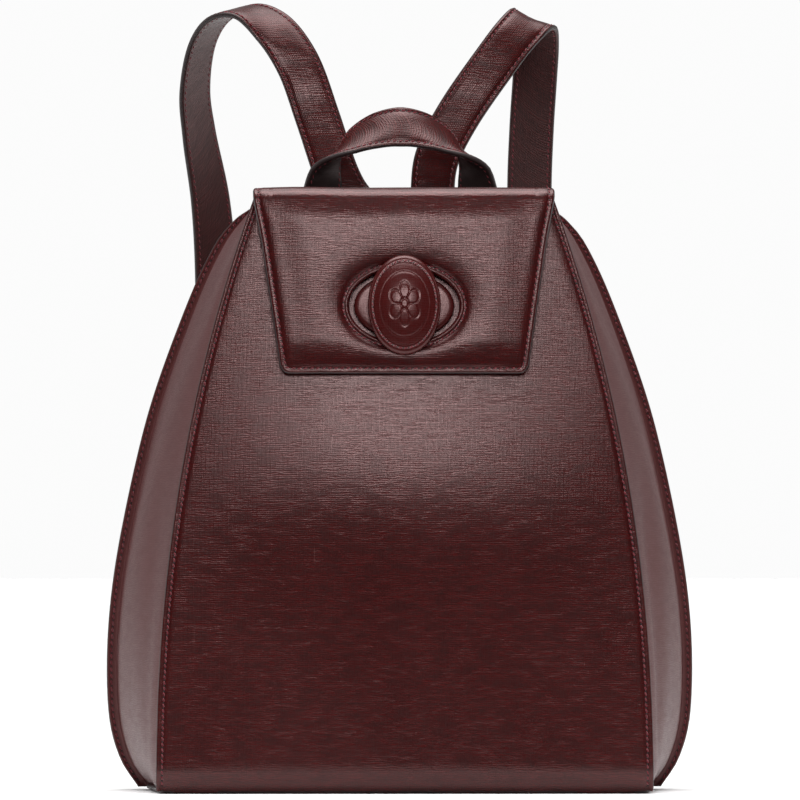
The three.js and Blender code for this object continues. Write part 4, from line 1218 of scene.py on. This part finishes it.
LEFT_STRAP = [
    ((-17, 46.2, 262), (1, 0, 0)),
    ((-17, 46.4, 276), (1, 0, 0.05)),
    ((-20, 50.5, 289.5), (1, 0, 0.2)),
    ((-26.1, 54.5, 301), (0.96, 0, 0.29)),
    ((-32.3, 61, 320), (0.96, 0, 0.27)),
    ((-38.1, 66, 338), (0.95, 0, 0.3)),
    ((-48, 71, 365), (0.93, 0.1, 0.35)),
    ((-60, 75, 382), (0.85, 0.35, 0.4)),
    ((-73.5, 80.5, 390.5), (0.62, 0.74, 0.25)),
    ((-86.5, 87.5, 387.5), (0.52, 0.85, 0.05)),
    ((-94.8, 95, 376), (0.56, 0.83, 0)),
    ((-99, 102, 351), (0.65, 0.76, 0)),
    ((-96.8, 106, 329), (0.73, 0.68, 0)),
    ((-91, 110, 295), (0.87, 0.5, 0)),
    ((-88, 112, 250), (0.95, 0.3, 0)),
    ((-89, 109.5, 200), (1, 0.1, 0)),
    ((-93, 102, 150), (1, 0, 0)),
    ((-99, 89, 108), (1, 0, 0)),
    ((-100, 82.2, 87), (1, 0, 0)),
]

RIGHT_STRAP = [
    ((16.5, 46.2, 262), (1, 0, 0)),
    ((16.5, 46.4, 276), (1, 0, -0.05)),
    ((17, 50.5, 289.5), (1, 0, -0.1)),
    ((18.9, 54.5, 301), (0.95, 0, -0.3)),
    ((24.2, 61, 320), (0.9, 0, -0.43)),
    ((34.2, 66, 339), (0.88, 0, -0.47)),
    ((53, 71.5, 366), (0.87, 0, -0.48)),
    ((63, 76, 379), (0.87, 0.05, -0.48)),
    ((70, 83, 385.5), (0.9, 0.05, -0.43)),
    ((73.5, 91, 383.5), (0.95, 0, -0.3)),
    ((74.3, 98, 374), (0.98, 0, -0.12)),
    ((73.5, 103.5, 357), (1, 0, 0)),
    ((72, 107.5, 332), (1, 0, 0)),
    ((71, 110.5, 298), (1, 0, 0)),
    ((73, 112, 250), (1, 0, 0)),
    ((80, 109.5, 200), (1, 0, 0)),
    ((88, 102, 150), (1, 0, 0)),
    ((99, 89, 108), (1, 0, 0)),
    ((100, 82.2, 87), (1, 0, 0)),
]

RIBBON_TOP, RIBBON_BOTTOM = 1.6, -1.3
STRAP_GROOVES = ((2.4, 0.3, 0.75),)
RIBBON_EDGES = [0.0, 0.08, 0.25, 0.55, 0.95, 1.45, 1.9, 2.4, 2.9, 3.5, 4.6, 6.5]


def ribbon_grid(centres, across, width, count):
    """Rows of points across a ribbon. The direction across is kept square to the ribbon's run."""
    line = catmull(centres, count, centripetal=True)
    run = unit(np.gradient(line, axis=0))
    stations = np.linspace(0, len(centres) - 1, count)
    side = pick(np.asarray(across, float), np.arange(len(across)), stations)
    side = unit(side - run * (side * run).sum(axis=1, keepdims=True))
    places = spaced(width, 2.2, RIBBON_EDGES) - width / 2
    walked = walk(line)
    # even rows, with close ones at both ends for the rounded ends
    rows = spaced(walked[-1], 2.2, [0.0, 0.1, 0.3, 0.7, 1.2, 2.0])
    line = pick(line, walked, rows)
    side = unit(pick(side, walked, rows))
    return line[:, None, :] + side[:, None, :] * places[None, :, None]


def ribbon_stitches(name, grid, flip=False):
    """Both edges of a strap are sewn through, so each row shows on both faces."""
    rows = Stitches(name)
    for side in "lr":
        for height, facing in ((RIBBON_TOP - 0.22, 1), (RIBBON_BOTTOM + 0.12, -1)):
            sew(rows, grid, side, 2.4, height, flip=flip, facing=facing, **STRAP_THREAD)
    return rows.finish()


def ribbon_swell(grid):
    """Straps are a little fuller between their rows of stitching."""
    distance = border_distance(grid, "lr")
    along = arcs(grid, 0)
    return 0.35 * smooth(2.4, 6, distance) + 0.07 * np.sin(along / 3.1) * smooth(2.4, 5, distance)


STRAP_WIDTH, HANDLE_WIDTH, TAIL_WIDTH = 22.5, 21.5, 21.5
LOOP_SHIFT = {"left": 3.2, "right": 4.2}  # the tops of the loops lean a little to the left


def make_handle():
    near = np.array(HANDLE_NEAR, float)
    far = np.array(HANDLE_FAR, float)
    mirror = np.array([-1.0, 1.0, 1.0])
    near = np.vstack([near * mirror, near[-2::-1]])
    far = np.vstack([far * mirror, far[-2::-1]])
    grid = ribbon_grid((near + far) / 2, unit(far - near), HANDLE_WIDTH, 400)
    # the handle's underside takes the near-black painted shade
    handle = sheet("top_handle", grid, RIBBON_TOP, RIBBON_BOTTOM, [strap_leather, black_leather, edge_dark],
                   flip=True, paint=0.5, grooves=STRAP_GROOVES, lift=ribbon_swell(grid))
    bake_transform(handle)
    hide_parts("handle_leather", "handle_lining", "handle_end_left", "handle_end_right")
    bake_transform(ribbon_stitches("handle_stitches", grid, flip=True))


def make_straps():
    for name, side, stations in (("left", -1, LEFT_STRAP), ("right", 1, RIGHT_STRAP)):
        centres = [row[0] for row in stations]
        across = [unit(np.array(row[1], float)) for row in stations]
        grid = ribbon_grid(centres, across, STRAP_WIDTH, 700)
        share = np.linspace(0, 1, len(grid))[:, None]
        grid[..., 0] -= LOOP_SHIFT[name] * smooth(0.06, 0.14, share) * (1 - smooth(0.70, 0.95, share))
        strap = sheet(f"shoulder_strap_{name}", grid, RIBBON_TOP, RIBBON_BOTTOM, STRAP_LOOKS, paint=0.5,
                      grooves=STRAP_GROOVES, lift=ribbon_swell(grid))
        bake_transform(strap)
        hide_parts(f"strap_leather_{name}", f"strap_lining_{name}", f"strap_top_end_{name}")
        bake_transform(ribbon_stitches(f"strap_stitches_{name}", grid))
        make_strap_foot(name, side)


def make_yoke():
    low, high = corners("back_yoke")
    x = spaced(high[0] - low[0], 3.0) + low[0]
    z = spaced(high[2] - low[2], 2.2) + low[2]
    zz, xx = np.meshgrid(z, x, indexing="ij")
    lifted = smooth(1.0, 5.5, high[0] - np.abs(xx)) * smooth(0.5, 5.0, zz - low[2])
    valley = 1 - 0.45 * bump(np.abs(xx), 28.2, 1.8) - 0.6 * bump(xx, 0, 3.6)
    lift = 1.0 + 5.2 * lifted * valley
    grid = np.stack([xx, back_y(xx, zz) + lift, zz], axis=2)
    yoke = sheet("back_yoke_leather", grid, 0.0, -1.2, BODY_LOOKS, flip=True, paint=0.5,
                 grooves=((2.4, 0.25, 0.8),))
    settle(yoke, "burgundy_leather", "back_yoke")
    rows = Stitches("yoke_stitches")
    sew(rows, grid, "lrbt", 2.4, -0.2, flip=True, trim=2.6, pitch=3.0, length=2.25, width=0.7)
    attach(rows.finish(), "bag")


# ---------------------------------------------------------------- buckles

BAR_Y, BAR_Z = 69.5, 62.0  # the buckle's lower bar, round which the tab and the prong turn
TOP_Y, TOP_Z = 86.2, 84.0  # its upper bar
FRAME_HALF, FRAME_RADIUS = 14, 1.5
EYE_RADIUS, SLEEVE_RADIUS = 2.5, 2.75
TAIL_HOLES = (47.0, 37.0)  # heights of the holes punched in the strap's tail


def tube(name, path, radius, look, closed=False, sides=14):
    """A round bar along a path of points in mm, with flat ends unless it closes."""
    path = np.asarray(path, float)
    if closed:
        run = unit(np.roll(path, -1, axis=0) - np.roll(path, 1, axis=0))
    else:
        run = unit(np.gradient(path, axis=0))
    radius = np.broadcast_to(np.asarray(radius, float), (len(path),))
    flat = np.cross(run, np.array([1.0, 0.0, 0.0]))
    weak = np.linalg.norm(flat, axis=1) < 0.2
    flat[weak] = np.cross(run[weak], np.array([0.0, 0.5, -0.8]))
    first = unit(flat)
    for i in range(1, len(first)):
        first[i] = unit(first[i - 1] - run[i] * first[i - 1].dot(run[i]))
    second = np.cross(run, first)
    theta = np.linspace(0, 2 * math.pi, sides, endpoint=False)
    ring = (first[:, None] * np.cos(theta)[None, :, None] + second[:, None] * np.sin(theta)[None, :, None])
    points = (path[:, None] + ring * radius[:, None, None]).reshape(-1, 3)
    return make_object(name, points, skin(len(path), sides, closed=closed), [look])


def rounded_loop(points, radius, per_corner=7, per_side=6):
    """A closed path with its corners rounded."""
    points = np.asarray(points, float)
    count = len(points)
    path = []
    for i in range(count):
        before, corner, after = points[i - 1], points[i], points[(i + 1) % count]
        start = corner + unit(before - corner) * radius
        end = corner + unit(after - corner) * radius
        t = np.linspace(0, 1, per_corner)[:, None]
        path.append((1 - t) ** 2 * start + 2 * t * (1 - t) * corner + t**2 * end)
        leave = after + unit(corner - after) * radius
        path.append(end + (leave - end) * np.linspace(0, 1, per_side)[1:-1, None])
    return np.vstack(path)


def band(name, loop, low, high, thickness, looks):
    """A closed leather loop: a path in plan, standing between two heights."""
    heights = spaced(high - low, 1.2, [0.0, 0.08, 0.25, 0.5, 0.8])
    grid = np.array([[(x, y, low + h) for h in heights] for x, y in loop])
    return sheet(name, grid, thickness / 2, -thickness / 2, looks, borders="lr", closed=True, paint=0.35)


def make_strap_foot(name, side):
    """The strap's tail, the tab, the buckle and the keeper at one lower corner."""
    x = side * 100.0
    tail = [(x, 82.6, 85.6), (x, 78.6, 78), (x, 74.6, 62), (x, 70.4, 45), (x, 68.3, 28)]
    grid = ribbon_grid(tail, [(1, 0, 0)] * len(tail), TAIL_WIDTH, 90)
    # the tail narrows to a rounded point
    walked = arcs(grid, 0)
    left = walked[-1:, :] - walked
    narrow = np.sqrt(np.clip(1 - (1 - np.clip(left / 9.0, 0.02, 1)) ** 2, 0.02, 1))
    centre = grid[:, grid.shape[1] // 2][:, None, :]
    grid = centre + (grid - centre) * narrow[..., None]
    strap = sheet(f"strap_tail_leather_{name}", grid, 1.4, -1.2, STRAP_LOOKS, paint=0.7,
                  grooves=STRAP_GROOVES)
    settle(strap, "strap_leather", f"strap_tail_{name}")
    rows = Stitches(f"strap_foot_stitches_{name}")
    sew(rows, grid, "lr", 2.3, 1.25, trim=4, **STRAP_THREAD)
    # the tail's punched holes are drawn as dark discs: painted shade in each hole
    punched_hole_shade = Stitches(f"strap_hole_shade_{name}")
    middle = grid[:, grid.shape[1] // 2]
    for z in TAIL_HOLES:
        place = int(np.argmin(np.abs(middle[:, 2] - z)))
        along = unit(middle[place + 1] - middle[place - 1])
        out = unit(np.cross(along, (1.0, 0.0, 0.0)))
        out = out if out[1] > 0 else -out
        punched_hole_shade.hole(middle[place] + out * 1.42, along, np.cross(out, along), out, 1.5)
    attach(punched_hole_shade.finish(), "bag")

    z = spaced(46.5, 2.4, RIBBON_EDGES) + 12
    wide = spaced(22.0, 2.4, RIBBON_EDGES) - 11
    zz, xx = np.meshgrid(z, wide, indexing="ij")
    lift = 2.2 + 4.4 * np.maximum((zz - 26) / 33.6, 0) ** 1.6
    tab_grid = np.stack([x + xx, back_y(x, zz) + lift, zz], axis=2)
    tab = sheet(f"lower_tab_leather_{name}", tab_grid, 0.2, -1.5, STRAP_LOOKS, flip=True,
                paint=0.6, grooves=STRAP_GROOVES)
    settle(tab, "strap_leather", f"lower_tab_{name}")
    sew(rows, tab_grid, "lrb", 2.3, 0.02, flip=True, trim=2.4, **STRAP_THREAD)
    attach(rows.finish(), "bag")

    # two sleeves of the tab wrap the bar, one each side of the prong
    for label, low_x, high_x in (("a", -11.0, -3.2), ("b", 3.2, 11.0)):
        angles = np.radians(np.linspace(-150, 115, 30))
        places = spaced(high_x - low_x, 1.6, [0.0, 0.08, 0.25, 0.5, 0.8]) + low_x
        rows_of = []
        for angle in angles:
            y = BAR_Y + SLEEVE_RADIUS * math.cos(angle)
            up = BAR_Z + SLEEVE_RADIUS * math.sin(angle)
            rows_of.append([(x + place, y, up) for place in places])
        sleeve = sheet(f"bar_sleeve_{name}_{label}", np.array(rows_of), 0.75, -0.75,
                       STRAP_LOOKS, paint=0.4)
        settle(sleeve, "strap_leather")

    low_x, high_x = x - FRAME_HALF, x + FRAME_HALF
    ring = rounded_loop([(low_x, BAR_Y, BAR_Z), (high_x, BAR_Y, BAR_Z), (high_x, TOP_Y, TOP_Z),
                         (low_x, TOP_Y, TOP_Z)], 4.0)
    buckle = tube(f"buckle_frame_gold_{name}", ring, FRAME_RADIUS, gold, closed=True)
    settle(buckle, "gold_metal", f"buckle_frame_{name}")

    reach = np.array([0.0, TOP_Y + 4.7 - BAR_Y, TOP_Z + 0.8 - BAR_Z])
    steps = np.linspace(0.075, 1, 24)
    needle = np.array([(x, BAR_Y, BAR_Z)]) + steps[:, None] * reach
    radius = 1.25 - 0.35 * steps
    radius[-3:] *= (0.92, 0.7, 0.3)
    prong = tube(f"buckle_prong_gold_{name}", needle, radius, gold)
    theta = np.linspace(0, 2 * math.pi, 28, endpoint=False)
    eye = [(x, BAR_Y + EYE_RADIUS * math.cos(a), BAR_Z + EYE_RADIUS * math.sin(a)) for a in theta]
    eye_ring = tube(f"buckle_eye_gold_{name}", eye, 0.85, gold, closed=True, sides=10)
    settle(prong, "gold_metal", f"buckle_prong_{name}", body=f"prong_{name}")
    settle(eye_ring, "gold_metal", body=f"prong_{name}")

    low, high = corners(f"keeper_loop_{name}")
    inset = 0.7
    loop = rounded_loop([(low[0] + inset, low[1] + inset, 0), (high[0] - inset, low[1] + inset, 0),
                         (high[0] - inset, high[1] - inset, 0), (low[0] + inset, high[1] - inset, 0)], 2.6)
    keeper = band(f"keeper_leather_{name}", loop[:, :2], low[2], high[2], 1.3, STRAP_LOOKS)
    settle(keeper, "strap_leather", f"keeper_loop_{name}")


# ---------------------------------------------------------------- CAD pieces that stay


def dress(node, material):
    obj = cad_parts[node]
    if not obj.material_slots:
        obj.data.materials.append(material)
    for place in obj.material_slots:
        place.material = material


def dress_kept_nodes():
    for node in ("lock_post", "lock_washer", "lock_backing_plate", "knob_core", "zip_slider", "zip_pull"):
        dress(node, gold)
    dress("back_padding", foam)
    dress("base_board", board)


make_studio()
make_front()
make_gussets()
make_back()
make_base()
make_lining()
make_facings_and_pocket()
make_zip_teeth()
make_flap()
make_hinge_strip()
make_lock()
make_handle()
make_straps()
make_yoke()
dress_kept_nodes()
